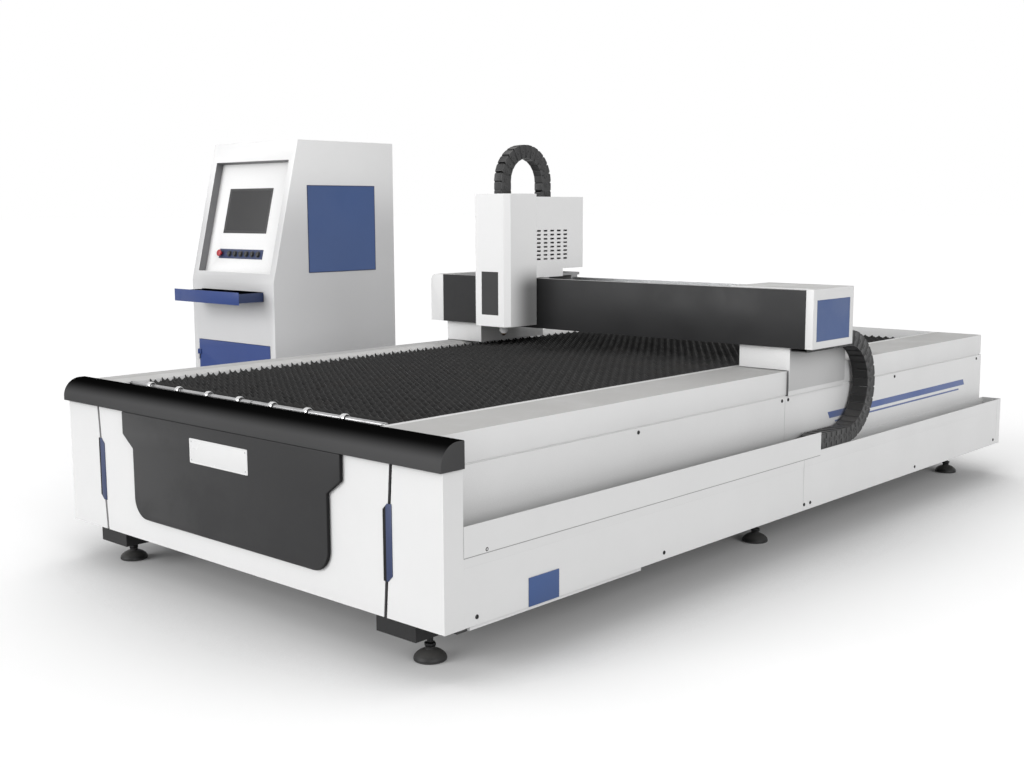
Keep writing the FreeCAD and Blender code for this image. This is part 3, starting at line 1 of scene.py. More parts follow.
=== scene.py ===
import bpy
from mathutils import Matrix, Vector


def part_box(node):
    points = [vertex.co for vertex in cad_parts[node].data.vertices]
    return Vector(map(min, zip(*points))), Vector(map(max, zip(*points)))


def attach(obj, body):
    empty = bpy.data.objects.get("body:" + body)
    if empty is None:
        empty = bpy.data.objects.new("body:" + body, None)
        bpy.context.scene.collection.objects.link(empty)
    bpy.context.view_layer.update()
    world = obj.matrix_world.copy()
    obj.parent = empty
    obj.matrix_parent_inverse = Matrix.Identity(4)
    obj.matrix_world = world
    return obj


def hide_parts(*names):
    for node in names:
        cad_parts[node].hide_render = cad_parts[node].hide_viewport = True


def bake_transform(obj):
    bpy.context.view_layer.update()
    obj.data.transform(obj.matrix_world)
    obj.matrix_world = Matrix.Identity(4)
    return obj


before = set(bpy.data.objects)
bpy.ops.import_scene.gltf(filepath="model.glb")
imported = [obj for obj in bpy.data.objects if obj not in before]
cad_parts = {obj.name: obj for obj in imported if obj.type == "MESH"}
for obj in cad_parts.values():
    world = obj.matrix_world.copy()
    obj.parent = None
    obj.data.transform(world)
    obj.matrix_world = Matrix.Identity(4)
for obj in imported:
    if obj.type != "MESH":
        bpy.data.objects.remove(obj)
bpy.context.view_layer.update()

import logging
import math
from collections.abc import Callable, Iterable, Sequence
from dataclasses import dataclass
from enum import Enum
from typing import Any

import bmesh
import bpy
from mathutils import Matrix, Vector

log = logging.getLogger("laser_cutter")
Colour = tuple[float, float, float]
Test = Callable[[Vector, Vector], bool]

# Lengths are in metres. X runs across the bed to the right, Y to the rear and Z up.
MERGE = 0.00002  # points nearer than this are one
NEAR = 0.001  # how far from a plane a part may lie and still count as in it
FACING = 0.9  # least share of an axis in a direction that runs along it
EDGE_ANGLE = 40.0  # edges sharper than this are rounded, in degrees
BED_FRONT = -2.1065
CASING_UNDERSIDE = 0.162
CONSOLE_RUN, CONSOLE_RISE = 0.196, 0.8
LEAN = math.atan2(CONSOLE_RUN, CONSOLE_RISE)


class Slot(Enum):
    """Names of the material slots."""

    WHITE = "white_paint"
    DARK = "dark_paint"
    BLUE = "blue_paint"
    SLAT = "slat_steel"
    BRIGHT = "bright_steel"
    FRAME = "frame_steel"
    CHAIN = "chain_plastic"
    BUTTON = "button_plastic"
    RED = "red_plastic"
    GLASS = "screen_glass"
    COPPER = "copper_alloy"


class Kind(Enum):
    """What an edit selects."""

    FACE = "FACE"
    EDGE = "EDGE"
    POINT = "VERT"


# ---------------------------------------------------------------- node graphs
class Graph:
    """Adds nodes to one tree and wires them."""

    def __init__(self, tree: bpy.types.NodeTree) -> None:
        """Keep the tree that nodes are added to."""
        self.tree = tree

    def add(self, kind: str, inputs: dict[Any, Any] | None = None, **settings: Any) -> bpy.types.Node:
        """Add one node.

        Args:
            kind: Blender's name of the node type.
            inputs: socket name or number, with a value or the socket that feeds it.
            settings: other properties of the node.

        Returns:
            The new node.
        """
        node = self.tree.nodes.new(kind)
        for name, value in settings.items():
            setattr(node, name, value)
        for name, value in (inputs or {}).items():
            if isinstance(value, bpy.types.NodeSocket):
                self.tree.links.new(value, node.inputs[name])
            else:
                node.inputs[name].default_value = value
        return node

    def math(self, operation: str, *values: Any, clamp: bool = False) -> bpy.types.NodeSocket:
        """Return the output of a Math node fed by the values."""
        inputs = dict(enumerate(values))
        return self.add("ShaderNodeMath", inputs, operation=operation, use_clamp=clamp).outputs[0]

    def product(self, *factors: Any) -> bpy.types.NodeSocket:
        """Return the product of two or more values."""
        result = factors[0]
        for factor in factors[1:]:
            result = self.math("MULTIPLY", result, factor)
        return result

    def noise(self, place: Any, scale: Any, detail: float = 2.0, rough: float = 0.5) -> bpy.types.NodeSocket:
        """Return the value of a noise at a scale per metre."""
        inputs = {"Vector": place, "Scale": scale, "Detail": detail, "Roughness": rough}
        return self.add("ShaderNodeTexNoise", inputs).outputs[0]

    def spread(self, value: Any, low: Any, high: Any, to_low: Any = 0.0,
               to_high: Any = 1.0) -> bpy.types.NodeSocket:
        """Return the value mapped from low..high to another range, clamped and eased."""
        inputs = {"Value": value, "From Min": low, "From Max": high, "To Min": to_low, "To Max": to_high}
        return self.add("ShaderNodeMapRange", inputs, interpolation_type="SMOOTHSTEP").outputs[0]

    def blend(self, factor: Any, first: Any, second: Any) -> bpy.types.NodeSocket:
        """Return two colours mixed by a factor."""
        first = (*first, 1.0) if isinstance(first, tuple) else first
        second = (*second, 1.0) if isinstance(second, tuple) else second
        inputs = {0: factor, 6: first, 7: second}
        return self.add("ShaderNodeMix", inputs, data_type="RGBA", blend_type="MIX").outputs[2]

    def place(self) -> bpy.types.NodeSocket:
        """Return the Object coordinates, which are metres in the row frame."""
        return self.add("ShaderNodeTexCoord").outputs["Object"]

    def axes(self, vector: Any) -> tuple[bpy.types.NodeSocket, ...]:
        """Return the X, Y and Z of a vector."""
        return tuple(self.add("ShaderNodeSeparateXYZ", {0: vector}).outputs)

    def normal(self) -> bpy.types.NodeSocket:
        """Return the direction that the surface looks in."""
        return self.add("ShaderNodeNewGeometry").outputs["Normal"]


class Effect:
    """A shared shader group with named inputs and one output, built once."""

    title = "effect"
    inputs: dict[str, float] = {}
    output = "Mask"

    @classmethod
    def tree(cls) -> bpy.types.NodeTree:
        """Return the group, building it the first time."""
        found = bpy.data.node_groups.get(cls.title)
        if found:
            return found
        tree = bpy.data.node_groups.new(cls.title, "ShaderNodeTree")
        for name, value in cls.inputs.items():
            socket = tree.interface.new_socket(name, in_out="INPUT", socket_type="NodeSocketFloat")
            socket.default_value = value
        tree.interface.new_socket(cls.output, in_out="OUTPUT", socket_type="NodeSocketFloat")
        graph = Graph(tree)
        given = graph.add("NodeGroupInput").outputs
        graph.add("NodeGroupOutput", {cls.output: cls.wire(graph, given)})
        return tree

    @classmethod
    def wire(cls, graph: Graph, given: Any) -> bpy.types.NodeSocket:
        """Return the socket that feeds the output."""
        raise NotImplementedError

    @classmethod
    def use(cls, graph: Graph, **values: Any) -> bpy.types.NodeSocket:
        """Place the group in a material with its own values and return its output."""
        inputs = {name.replace("_", " "): value for name, value in values.items()}
        return graph.add("ShaderNodeGroup", inputs, node_tree=cls.tree()).outputs[0]


class EdgeWearAndHighlight(Effect):
    """Thin uneven worn edge where a surface turns round an edge, lighter than the surface: partly worn paint,
    partly a painted highlight.
    """

    title = "edge_wear_and_highlight"
    inputs = {"Radius": 0.004, "Amount": 0.5, "Scale": 60.0}

    @classmethod
    def wire(cls, graph: Graph, given: Any) -> bpy.types.NodeSocket:
        """Compare the rounded normal with the true one and break it up with noise."""
        rounded = graph.add("ShaderNodeBevel", {"Radius": given["Radius"]}, samples=4).outputs[0]
        dot = graph.add("ShaderNodeVectorMath", {0: rounded, 1: graph.normal()}, operation="DOT_PRODUCT")
        turn = graph.math("SUBTRACT", 1.0, dot.outputs["Value"], clamp=True)
        rough = graph.noise(graph.place(), given["Scale"], 4.0, 0.65)
        chips = graph.spread(graph.math("ADD", turn, graph.product(rough, 0.5)), 0.34, 0.5)
        return graph.math("MULTIPLY", chips, given["Amount"], clamp=True)


class Clouds(Effect):
    """Soft large patches with finer ones inside, from 0 to 1."""

    title = "clouds"
    inputs = {"Scale": 2.0, "Fine": 40.0}

    @classmethod
    def wire(cls, graph: Graph, given: Any) -> bpy.types.NodeSocket:
        """Add two noises."""
        place = graph.place()
        wide = graph.spread(graph.noise(place, given["Scale"], 4.0), 0.3, 0.7)
        fine = graph.noise(place, given["Fine"], 5.0, 0.6)
        return graph.math("ADD", graph.product(wide, 0.65), graph.product(fine, 0.35))


class Peel(Effect):
    """Height of the fine pebbled skin of powder coat or moulded plastic."""

    title = "orange_peel"
    inputs = {"Scale": 420.0}

    @classmethod
    def wire(cls, graph: Graph, given: Any) -> bpy.types.NodeSocket:
        """Mix round cells with a finer noise."""
        place = graph.place()
        scale = given["Scale"]
        cells = graph.add("ShaderNodeTexVoronoi", {"Vector": place, "Scale": scale}, feature="SMOOTH_F1")
        fine = graph.noise(place, graph.product(scale, 2.4))
        return graph.math("ADD", cells.outputs["Distance"], graph.product(fine, 0.6))


class DustAndTopShade(Effect):
    """Settled dust on faces that look up; set high, it also serves as painted shade that greys those faces.
    """

    title = "dust"
    inputs = {"Amount": 0.3, "Scale": 9.0}

    @classmethod
    def wire(cls, graph: Graph, given: Any) -> bpy.types.NodeSocket:
        """Take the upward share of the normal times a noise."""
        up = graph.spread(graph.axes(graph.normal())[2], 0.35, 1.0)
        patches = graph.spread(graph.noise(graph.place(), given["Scale"], 6.0, 0.65), 0.2, 0.6, 0.55, 1.0)
        return graph.product(up, patches, given["Amount"])


class CornerShadeAndGrime(Effect):
    """Painted shade, with a little dirt, where pieces stand close together, 1 in a deep corner."""

    title = "painted_corner_shade_and_grime"
    inputs = {"Distance": 0.2, "Amount": 0.5}

    @classmethod
    def wire(cls, graph: Graph, given: Any) -> bpy.types.NodeSocket:
        """Turn the open share of the surroundings into a mask."""
        free = graph.add("ShaderNodeAmbientOcclusion", {"Distance": given["Distance"]}, samples=4)
        shade = graph.spread(free.outputs["AO"], 0.95, 0.30)
        return graph.math("MULTIPLY", shade, given["Amount"], clamp=True)


class Scratches(Effect):
    """Long fine lines along one direction, as a brush or a grinder leaves them, from 0 to 1."""

    title = "scratches"
    inputs = {"Along X": 8.0, "Along Y": 900.0, "Along Z": 900.0}

    @classmethod
    def wire(cls, graph: Graph, given: Any) -> bpy.types.NodeSocket:
        """Stretch a noise by a scale of its own on each axis."""
        scales = {number: given[name] for number, name in enumerate(cls.inputs)}
        scale = graph.add("ShaderNodeCombineXYZ", scales)
        inputs = {0: graph.place(), 1: scale.outputs[0]}
        place = graph.add("ShaderNodeVectorMath", inputs, operation="MULTIPLY")
        return graph.noise(place.outputs[0], 1.0, 3.0, 0.6)


class Speckle(Effect):
    """Small round spots of spatter or fleck, 1 inside a spot."""

    title = "speckle"
    inputs = {"Scale": 130.0, "Share": 0.3}

    @classmethod
    def wire(cls, graph: Graph, given: Any) -> bpy.types.NodeSocket:
        """Keep the middle of some cells."""
        cells = graph.add("ShaderNodeTexVoronoi", {"Vector": graph.place(), "Scale": given["Scale"]})
        pick = graph.axes(cells.outputs["Color"])[0]
        near = graph.spread(cells.outputs["Distance"], 0.34, 0.14)
        return graph.product(near, graph.math("LESS_THAN", pick, given["Share"]))


# ---------------------------------------------------------------- finishes
@dataclass(frozen=True)
class Finish:
    """A surface finish: a colour with its wear and its skin."""

    name: str
    slot: Slot
    colour: Colour
    roughness: float = 0.42
    metallic: float = 0.0

    def material(self) -> bpy.types.Material:
        """Return this finish's material, building it the first time."""
        found = bpy.data.materials.get("finish_" + self.name)
        if found:
            return found
        made = bpy.data.materials.new("finish_" + self.name)
        made.use_nodes = True
        made.node_tree.nodes.clear()
        graph = Graph(made.node_tree)
        inputs = {"Roughness": self.roughness, "Metallic": self.metallic}
        shader = graph.add("ShaderNodeBsdfPrincipled", inputs)
        self.wire(graph, shader)
        graph.add("ShaderNodeOutputMaterial", {"Surface": shader.outputs[0]})
        made.diffuse_color = (*self.colour, 1.0)
        return made

    def wire(self, graph: Graph, shader: bpy.types.Node) -> None:
        """Wire the colour, roughness and normal of the shader."""
        raise NotImplementedError

    def tinted(self, share: float) -> Colour:
        """Return the colour darkened to a share of itself."""
        return tuple(part * share for part in self.colour)

    @staticmethod
    def feed(graph: Graph, shader: bpy.types.Node, colour: Any, rough: Any, height: Any,
             relief: float) -> None:
        """Wire the three sockets that every finish drives.

        Args:
            graph: the material's graph.
            shader: its Principled node.
            colour: socket of the colour.
            rough: socket of the roughness.
            height: socket of the height for the bump.
            relief: depth of the bump in metres.
        """
        bump = graph.add("ShaderNodeBump", {"Height": height, "Distance": relief, "Strength": 1.0})
        graph.tree.links.new(colour, shader.inputs["Base Color"])
        graph.tree.links.new(rough, shader.inputs["Roughness"])
        graph.tree.links.new(bump.outputs[0], shader.inputs["Normal"])


@dataclass(frozen=True)
class Coat(Finish):
    """Powder coat on sheet steel."""

    # edge colour: lighter than the white coats, so their worn edges are also a painted highlight
    edge: Colour = (0.9, 0.9, 0.9)
    wear_and_highlight: float = 0.35
    dust: float = 0.25
    dust_colour: Colour = (0.42, 0.41, 0.39)
    shade: float = 0.94
    peel: float = 420.0
    relief: float = 0.00012
    gloss: float = 0.5
    # painted shade in corners and between parts: its strength, the reach of the occlusion and the darkest
    # share of the colour
    corner: float = 0.45
    corner_reach: float = 0.25
    corner_shade: float = 0.4

    def base(self, graph: Graph) -> Any:
        """Return the colour before wear and dust."""
        tone = Clouds.use(graph, Scale=1.3, Fine=22.0)
        return graph.blend(tone, self.tinted(self.shade), self.colour)

    def wire(self, graph: Graph, shader: bpy.types.Node) -> None:
        """Lay the colour, worn edges with a painted highlight, dust that also paints shade on the tops,
        painted shade in corners and pebbled skin.
        """
        edge = EdgeWearAndHighlight.use(graph, Radius=0.0035, Amount=self.wear_and_highlight, Scale=70.0)
        dust = DustAndTopShade.use(graph, Amount=self.dust, Scale=7.0)
        colour = graph.blend(edge, self.base(graph), self.edge)
        colour = graph.blend(dust, colour, self.dust_colour)
        # painted shade: the colour darkens towards corner_shade where other pieces stand close
        if self.corner:
            corner_shade_and_grime = CornerShadeAndGrime.use(graph, Distance=self.corner_reach, Amount=self.corner)
            colour = graph.blend(corner_shade_and_grime, colour, self.tinted(self.corner_shade))
        smear = Clouds.use(graph, Scale=3.2, Fine=55.0)
        rough = graph.spread(smear, 0.2, 0.85, self.roughness - 0.07, self.roughness + 0.09)
        rough = graph.math("ADD", rough, graph.product(dust, 0.35), clamp=True)
        self.feed(graph, shader, colour, rough, Peel.use(graph, Scale=self.peel), self.relief)
        shader.inputs["Specular IOR Level"].default_value = self.gloss


@dataclass(frozen=True)
class PaintedReflectionCoat(Coat):
    """Dark coat with a painted dark reflection: nearly black where the surface turns up."""

    black: Colour = (0.003, 0.003, 0.003)
    turn: tuple[float, float] = (0.25, 0.90)

    def base(self, graph: Graph) -> Any:
        """Return the coat's colour, painted black on the upper part of the round as a reflection."""
        up = graph.axes(graph.normal())[2]
        return graph.blend(graph.spread(up, *self.turn), super().base(graph), self.black)


@dataclass(frozen=True)
class ShadeGradientCoat(Coat):
    """Powder coat with painted shade: it greys towards one side of the piece, between two places in metres.
    """

    grey: Colour = (0.6, 0.6, 0.6)
    rise: tuple[float, float] = (0.0, 1.0)
    run: tuple[float, float] | None = None
    amount: float = 1.0

    def base(self, graph: Graph) -> Any:
        """Blend towards the grey by height, and by depth on faces that look to the right."""
        _, depth, height = graph.axes(graph.place())
        mask = graph.product(graph.spread(height, *self.rise), self.amount)
        if self.run:
            side = graph.axes(graph.normal())[0]
            mask = graph.product(mask, graph.spread(depth, *self.run), graph.spread(side, 0.8, 0.95))
        return graph.blend(mask, super().base(graph), self.grey)


@dataclass(frozen=True)
class Stripe:
    """A straight painted band on the right side, with slanted ends, in metres."""

    start: float
    end: float
    low: float
    high: float
    slant: float = 0.6
    soft: float = 0.0006

    def mask(self, graph: Graph, depth: Any, height: Any) -> Any:
        """Return 1 inside the band and 0 outside."""
        along = graph.math("ADD", depth, graph.product(height, self.slant))
        middle = (self.low + self.high) / 2 * self.slant
        edges = [(along, self.start + middle, self.soft), (along, self.end + middle, -self.soft),
                 (height, self.low, self.soft), (height, self.high, -self.soft)]
        return graph.product(*(graph.spread(value, at - soft, at + soft) for value, at, soft in edges))


@dataclass(frozen=True)
class StripedCoat(Coat):
    """Powder coat with painted bands, and thin grey painted shadows under plate edges, on faces that look to
    the right.
    """

    stripes: tuple[Stripe, ...] = ()
    stripe_colour: Colour = (0.05, 0.1, 0.3)
    edge_shadows: tuple[Stripe, ...] = ()
    edge_shadow_colour: Colour = (0.30, 0.30, 0.30)

    def base(self, graph: Graph) -> Any:
        """Return the coat's colour with the bands over it."""
        colour = super().base(graph)
        _, depth, height = graph.axes(graph.place())
        facing = graph.spread(graph.axes(graph.normal())[0], 0.7, 0.9)
        painted = [(stripe, self.stripe_colour) for stripe in self.stripes]
        painted += [(edge_shadow, self.edge_shadow_colour) for edge_shadow in self.edge_shadows]
        for band, paint in painted:
            colour = graph.blend(graph.product(band.mask(graph, depth, height), facing), colour, paint)
        return colour


@dataclass(frozen=True)
class BareMetal(Finish):
    """Bare metal with ground or drawn lines."""

    metallic: float = 1.0
    lines: tuple[float, float, float] = (8.0, 900.0, 900.0)
    dark: Colour = (0.2, 0.2, 0.2)
    edge: Colour = (0.8, 0.8, 0.8)
    stains: float = 0.35
    relief: float = 0.00008

    def wire(self, graph: Graph, shader: bpy.types.Node) -> None:
        """Lay the ground lines, stains and bright edges."""
        along_x, along_y, along_z = self.lines
        lines = Scratches.use(graph, Along_X=along_x, Along_Y=along_y, Along_Z=along_z)
        stain = graph.spread(Clouds.use(graph, Scale=9.0, Fine=120.0), 0.45, 0.8, 0.0, self.stains)
        edge = EdgeWearAndHighlight.use(graph, Radius=0.0015, Amount=0.7, Scale=180.0)
        colour = graph.blend(graph.product(lines, 0.5), self.colour, self.dark)
        colour = graph.blend(stain, colour, self.dark)
        colour = graph.blend(edge, colour, self.edge)
        rough = graph.spread(lines, 0.25, 0.75, self.roughness - 0.08, self.roughness + 0.12)
        rough = graph.math("ADD", rough, graph.product(stain, 0.4), clamp=True)
        self.feed(graph, shader, colour, rough, lines, self.relief)


@dataclass(frozen=True)
class BurntSteel(Finish):
    """Thin steel bar that has been under the beam: scale, spatter and burnt tips."""

    metallic: float = 0.2
    tip: Colour = (0.026, 0.0255, 0.025)
    rust: Colour = (0.018, 0.014, 0.012)
    spatter: Colour = (0.07, 0.068, 0.066)
    top: float = 0.742
    depth: float = 0.03
    relief: float = 0.0006

    def wire(self, graph: Graph, shader: bpy.types.Node) -> None:
        """Lay scale and rust, then lighter burnt tips and spatter."""
        height = graph.axes(graph.place())[2]
        tone = Clouds.use(graph, Scale=14.0, Fine=160.0)
        colour = graph.blend(tone, self.tinted(0.55), self.colour)
        rust = graph.spread(Clouds.use(graph, Scale=5.0, Fine=60.0), 0.62, 0.85, 0.0, 0.55)
        colour = graph.blend(rust, colour, self.rust)
        ragged = graph.math("ADD", height, graph.product(tone, 0.02))
        tips = graph.spread(ragged, self.top - self.depth, self.top + 0.008, 0.0, 0.6)
        colour = graph.blend(tips, colour, self.tip)
        spots = Speckle.use(graph, Scale=190.0, Share=0.35)
        colour = graph.blend(graph.product(spots, 0.4), colour, self.spatter)
        rough = graph.spread(tone, 0.2, 0.8, self.roughness - 0.1, self.roughness + 0.15)
        bumps = graph.math("ADD", tone, graph.product(spots, 0.8))
        self.feed(graph, shader, colour, rough, bumps, self.relief)


@dataclass(frozen=True)
class Moulded(Finish):
    """Moulded plastic or rubber with a fine grain and rubbed edges."""

    edge: Colour = (0.2, 0.2, 0.2)
    wear_and_highlight: float = 0.3
    dust: float = 0.2
    dust_colour: Colour = (0.3, 0.29, 0.28)
    grain: float = 700.0
    relief: float = 0.0001

    def wire(self, graph: Graph, shader: bpy.types.Node) -> None:
        """Lay the grain, rubbed edges and dust."""
        tone = Clouds.use(graph, Scale=6.0, Fine=90.0)
        colour = graph.blend(tone, self.tinted(0.8), self.colour)
        edge = EdgeWearAndHighlight.use(graph, Radius=0.0012, Amount=self.wear_and_highlight, Scale=150.0)
        colour = graph.blend(edge, colour, self.edge)
        dust = DustAndTopShade.use(graph, Amount=self.dust, Scale=16.0)
        colour = graph.blend(dust, colour, self.dust_colour)
        rough = graph.spread(tone, 0.2, 0.85, self.roughness - 0.06, self.roughness + 0.1)
        rough = graph.math("ADD", rough, graph.product(dust, 0.3), clamp=True)
        self.feed(graph, shader, colour, rough, Peel.use(graph, Scale=self.grain), self.relief)


@dataclass(frozen=True)
class Pane(Finish):
    """Smooth dark pane of glass or acrylic with faint smears."""

    speck: Colour = (0.2, 0.2, 0.2)
    gloss: float = 0.25

    def wire(self, graph: Graph, shader: bpy.types.Node) -> None:
        """Lay smears and a few specks on a smooth face."""
        smear = graph.spread(Clouds.use(graph, Scale=11.0, Fine=50.0), 0.35, 0.8)
        colour = graph.blend(smear, self.tinted(0.98), self.colour)
        specks = Speckle.use(graph, Scale=240.0, Share=0.03)
        colour = graph.blend(graph.product(specks, 0.15), colour, self.speck)
        rough = graph.spread(smear, 0.0, 1.0, self.roughness, self.roughness + 0.03)
        self.feed(graph, shader, colour, rough, smear, 0.0)
        shader.inputs["Specular IOR Level"].default_value = self.gloss


# dust=0.5 is set high so faces that look up come out grey: dust and painted shade on the tops
WHITE = Coat("white_coat", Slot.WHITE, (0.79, 0.79, 0.79), dust=0.5)
# a lighter copy of the white coat: painted light on the head, the console, the nozzle ring and the right
# hood's inner band, with more painted corner shade
WHITE_PAINTED_LIGHT = Coat("white_coat_painted_light", Slot.WHITE, (0.87, 0.87, 0.87), shade=0.97, dust=0.3, corner=0.6)
SIDE_BANDS = (Stripe(0.40, 1.86, 0.500, 0.530), Stripe(0.46, 1.80, 0.478, 0.486))
# painted shadows: thin grey lines under and before the edges of the raised plate on the right casing
COVER_EDGE_SHADOWS = (Stripe(-2.0225, 0.1535, 0.3808, 0.3838, slant=0.0),
               Stripe(-2.0245, -2.0222, 0.382, 0.483, slant=0.0))
# dust=0.5 is set high here too: dust and painted shade on the tops
STRIPE_WHITE = StripedCoat("white_coat_striped", Slot.WHITE, (0.79, 0.79, 0.79), dust=0.5, stripes=SIDE_BANDS,
                           edge_shadows=COVER_EDGE_SHADOWS)
PLATE_WHITE = Coat("plate_white", Slot.WHITE, (0.78, 0.78, 0.78), roughness=0.3, wear_and_highlight=0.2, dust=0.05,
                   peel=900.0)
# painted light and shade: a lighter white above 1.72 m that greys below 1.28 m
CABINET_WHITE = ShadeGradientCoat("cabinet_coat_painted_shade", Slot.WHITE, (0.86, 0.86, 0.86), dust=0.3, corner=0.3,
                          grey=(0.60, 0.60, 0.605), rise=(1.72, 1.28))
# a lighter copy of the white coat as painted light, darkening nearly to black on its right face between 1.18
# m and 1.04 m towards the beam as painted shade
HEAD_WHITE = ShadeGradientCoat("head_coat_painted_shade", Slot.WHITE, (0.87, 0.87, 0.87), shade=0.97, dust=0.3, corner=0.6,
                       grey=(0.07, 0.07, 0.07), rise=(1.18, 1.04), run=(-0.2265, -0.05), amount=0.9)
# the white coat greyed as painted shade on the hoods' tops
HOOD_TOP_SHADE = Coat("hood_top_painted_shade", Slot.WHITE, (0.60, 0.60, 0.60), dust=0.5)
# the white coat greyed as painted shade on the right skirt's outer face
SKIRT_SHADE = Coat("skirt_painted_shade", Slot.WHITE, (0.55, 0.55, 0.55), dust=0.5)
DARK = Coat("dark_coat", Slot.DARK, (0.029, 0.029, 0.030), roughness=0.45, gloss=0.2,
            edge=(0.13, 0.13, 0.135), wear_and_highlight=0.5, dust=0.08, dust_colour=(0.2, 0.2, 0.2), shade=0.88)
# the black on the top of the bumper's round is a painted reflection
BUMPER = PaintedReflectionCoat("bumper_coat", Slot.DARK, (0.080, 0.080, 0.081), roughness=0.5, gloss=0.0,
                    edge=(0.1, 0.1, 0.1), wear_and_highlight=0.2, dust=0.0, shade=0.9)
# near black: painted shade on the apron's right side and in the reveals beside the front plates
EDGE_SHADE = Coat("edge_painted_shade", Slot.DARK, (0.014, 0.014, 0.0145), roughness=0.5, gloss=0.1, wear_and_highlight=0.2,
                 dust=0.0, edge=(0.05, 0.05, 0.05))
BEAM_DARK = Coat("beam_coat", Slot.DARK, (0.027, 0.027, 0.028), roughness=0.42, gloss=0.2,
                 edge=(0.14, 0.14, 0.145), wear_and_highlight=0.5, dust=0.12, dust_colour=(0.2, 0.2, 0.2), shade=0.85)
# white paint darkened to grey as painted shade on the beam's top and the head's carriage
BEAM_TOP_SHADE = Coat("beam_top_painted_shade", Slot.WHITE, (0.31, 0.31, 0.315), dust=0.2)
# the white coat darkened to a deep grey: painted shade in grooves, gaps and recess walls
RECESS_SHADE = Coat("recess_painted_shade", Slot.WHITE, (0.17, 0.17, 0.175), roughness=0.5, wear_and_highlight=0.1, dust=0.1)
BLUE = Coat("blue_coat", Slot.BLUE, (0.046, 0.095, 0.255), roughness=0.4, edge=(0.2, 0.27, 0.45), wear_and_highlight=0.4,
            dust=0.12, shade=0.88)
# a darker copy of the blue coat for the door and drawer fronts, which face the key lamp: painted shade
BLUE_FRONT_SHADE = Coat("front_blue_painted_shade", Slot.BLUE, (0.019, 0.048, 0.195), roughness=0.4, gloss=0.3,
                  edge=(0.16, 0.22, 0.4), wear_and_highlight=0.4, dust=0.1, shade=0.88)
NAVY = Coat("navy_coat", Slot.BLUE, (0.022, 0.038, 0.11), roughness=0.4, edge=(0.12, 0.16, 0.3), wear_and_highlight=0.4,
            dust=0.1, shade=0.85)
FRAME = Coat("frame_coat", Slot.FRAME, (0.018, 0.018, 0.0185), roughness=0.5, edge=(0.12, 0.12, 0.12),
             wear_and_highlight=0.5, dust=0.2, shade=0.7, gloss=0.3)
SEAL = Coat("brush_seal", Slot.WHITE, (0.78, 0.78, 0.78), roughness=0.8, wear_and_highlight=0.0, dust=0.0, peel=900.0,
            corner=0.0)
GUIDE = BareMetal("ground_steel", Slot.BRIGHT, (0.62, 0.63, 0.64), roughness=0.26, lines=(900.0, 10.0, 900.0))
ROD = BareMetal("drawn_steel", Slot.BRIGHT, (0.48, 0.48, 0.485), roughness=0.32, lines=(10.0, 700.0, 700.0),
                stains=0.2)
ROLLER = BareMetal("polished_steel", Slot.BRIGHT, (0.80, 0.80, 0.80), roughness=0.16,
                   lines=(700.0, 60.0, 60.0), stains=0.12, dark=(0.4, 0.4, 0.4))
SCREW = BareMetal("black_screw", Slot.FRAME, (0.035, 0.035, 0.036), roughness=0.4, dark=(0.015, 0.015, 0.015),
                  edge=(0.25, 0.25, 0.25), lines=(300.0, 300.0, 300.0))
SLAT = BurntSteel("burnt_steel", Slot.SLAT, (0.013, 0.013, 0.0135), roughness=0.6)
CHAIN_BAR = Moulded("chain_plastic", Slot.CHAIN, (0.009, 0.009, 0.0095), roughness=0.42,
                    edge=(0.12, 0.12, 0.12))
CHAIN_PLATE = Moulded("chain_plate", Slot.CHAIN, (0.022, 0.022, 0.0225), roughness=0.45,
                      edge=(0.14, 0.14, 0.14))
BLACK = Moulded("black_plastic", Slot.BUTTON, (0.022, 0.022, 0.023), roughness=0.35)
KEY = Moulded("key_plastic", Slot.BUTTON, (0.018, 0.019, 0.020), roughness=0.45, edge=(0.06, 0.06, 0.06))
RED = Moulded("red_plastic", Slot.RED, (0.42, 0.012, 0.022), roughness=0.3, edge=(0.6, 0.1, 0.1),
              dust=0.05)
RUBBER = Moulded("rubber", Slot.FRAME, (0.03, 0.03, 0.03), roughness=0.6, edge=(0.1, 0.1, 0.1))
GLASS = Pane("screen_pane", Slot.GLASS, (0.042, 0.042, 0.043), roughness=0.2)
SMOKED = Pane("smoked_pane", Slot.GLASS, (0.048, 0.048, 0.049), roughness=0.22)
COPPER = BareMetal("copper_tip", Slot.COPPER, (0.12, 0.075, 0.05), roughness=0.35, dark=(0.03, 0.02, 0.016),
                   edge=(0.6, 0.38, 0.26), lines=(500.0, 500.0, 40.0))


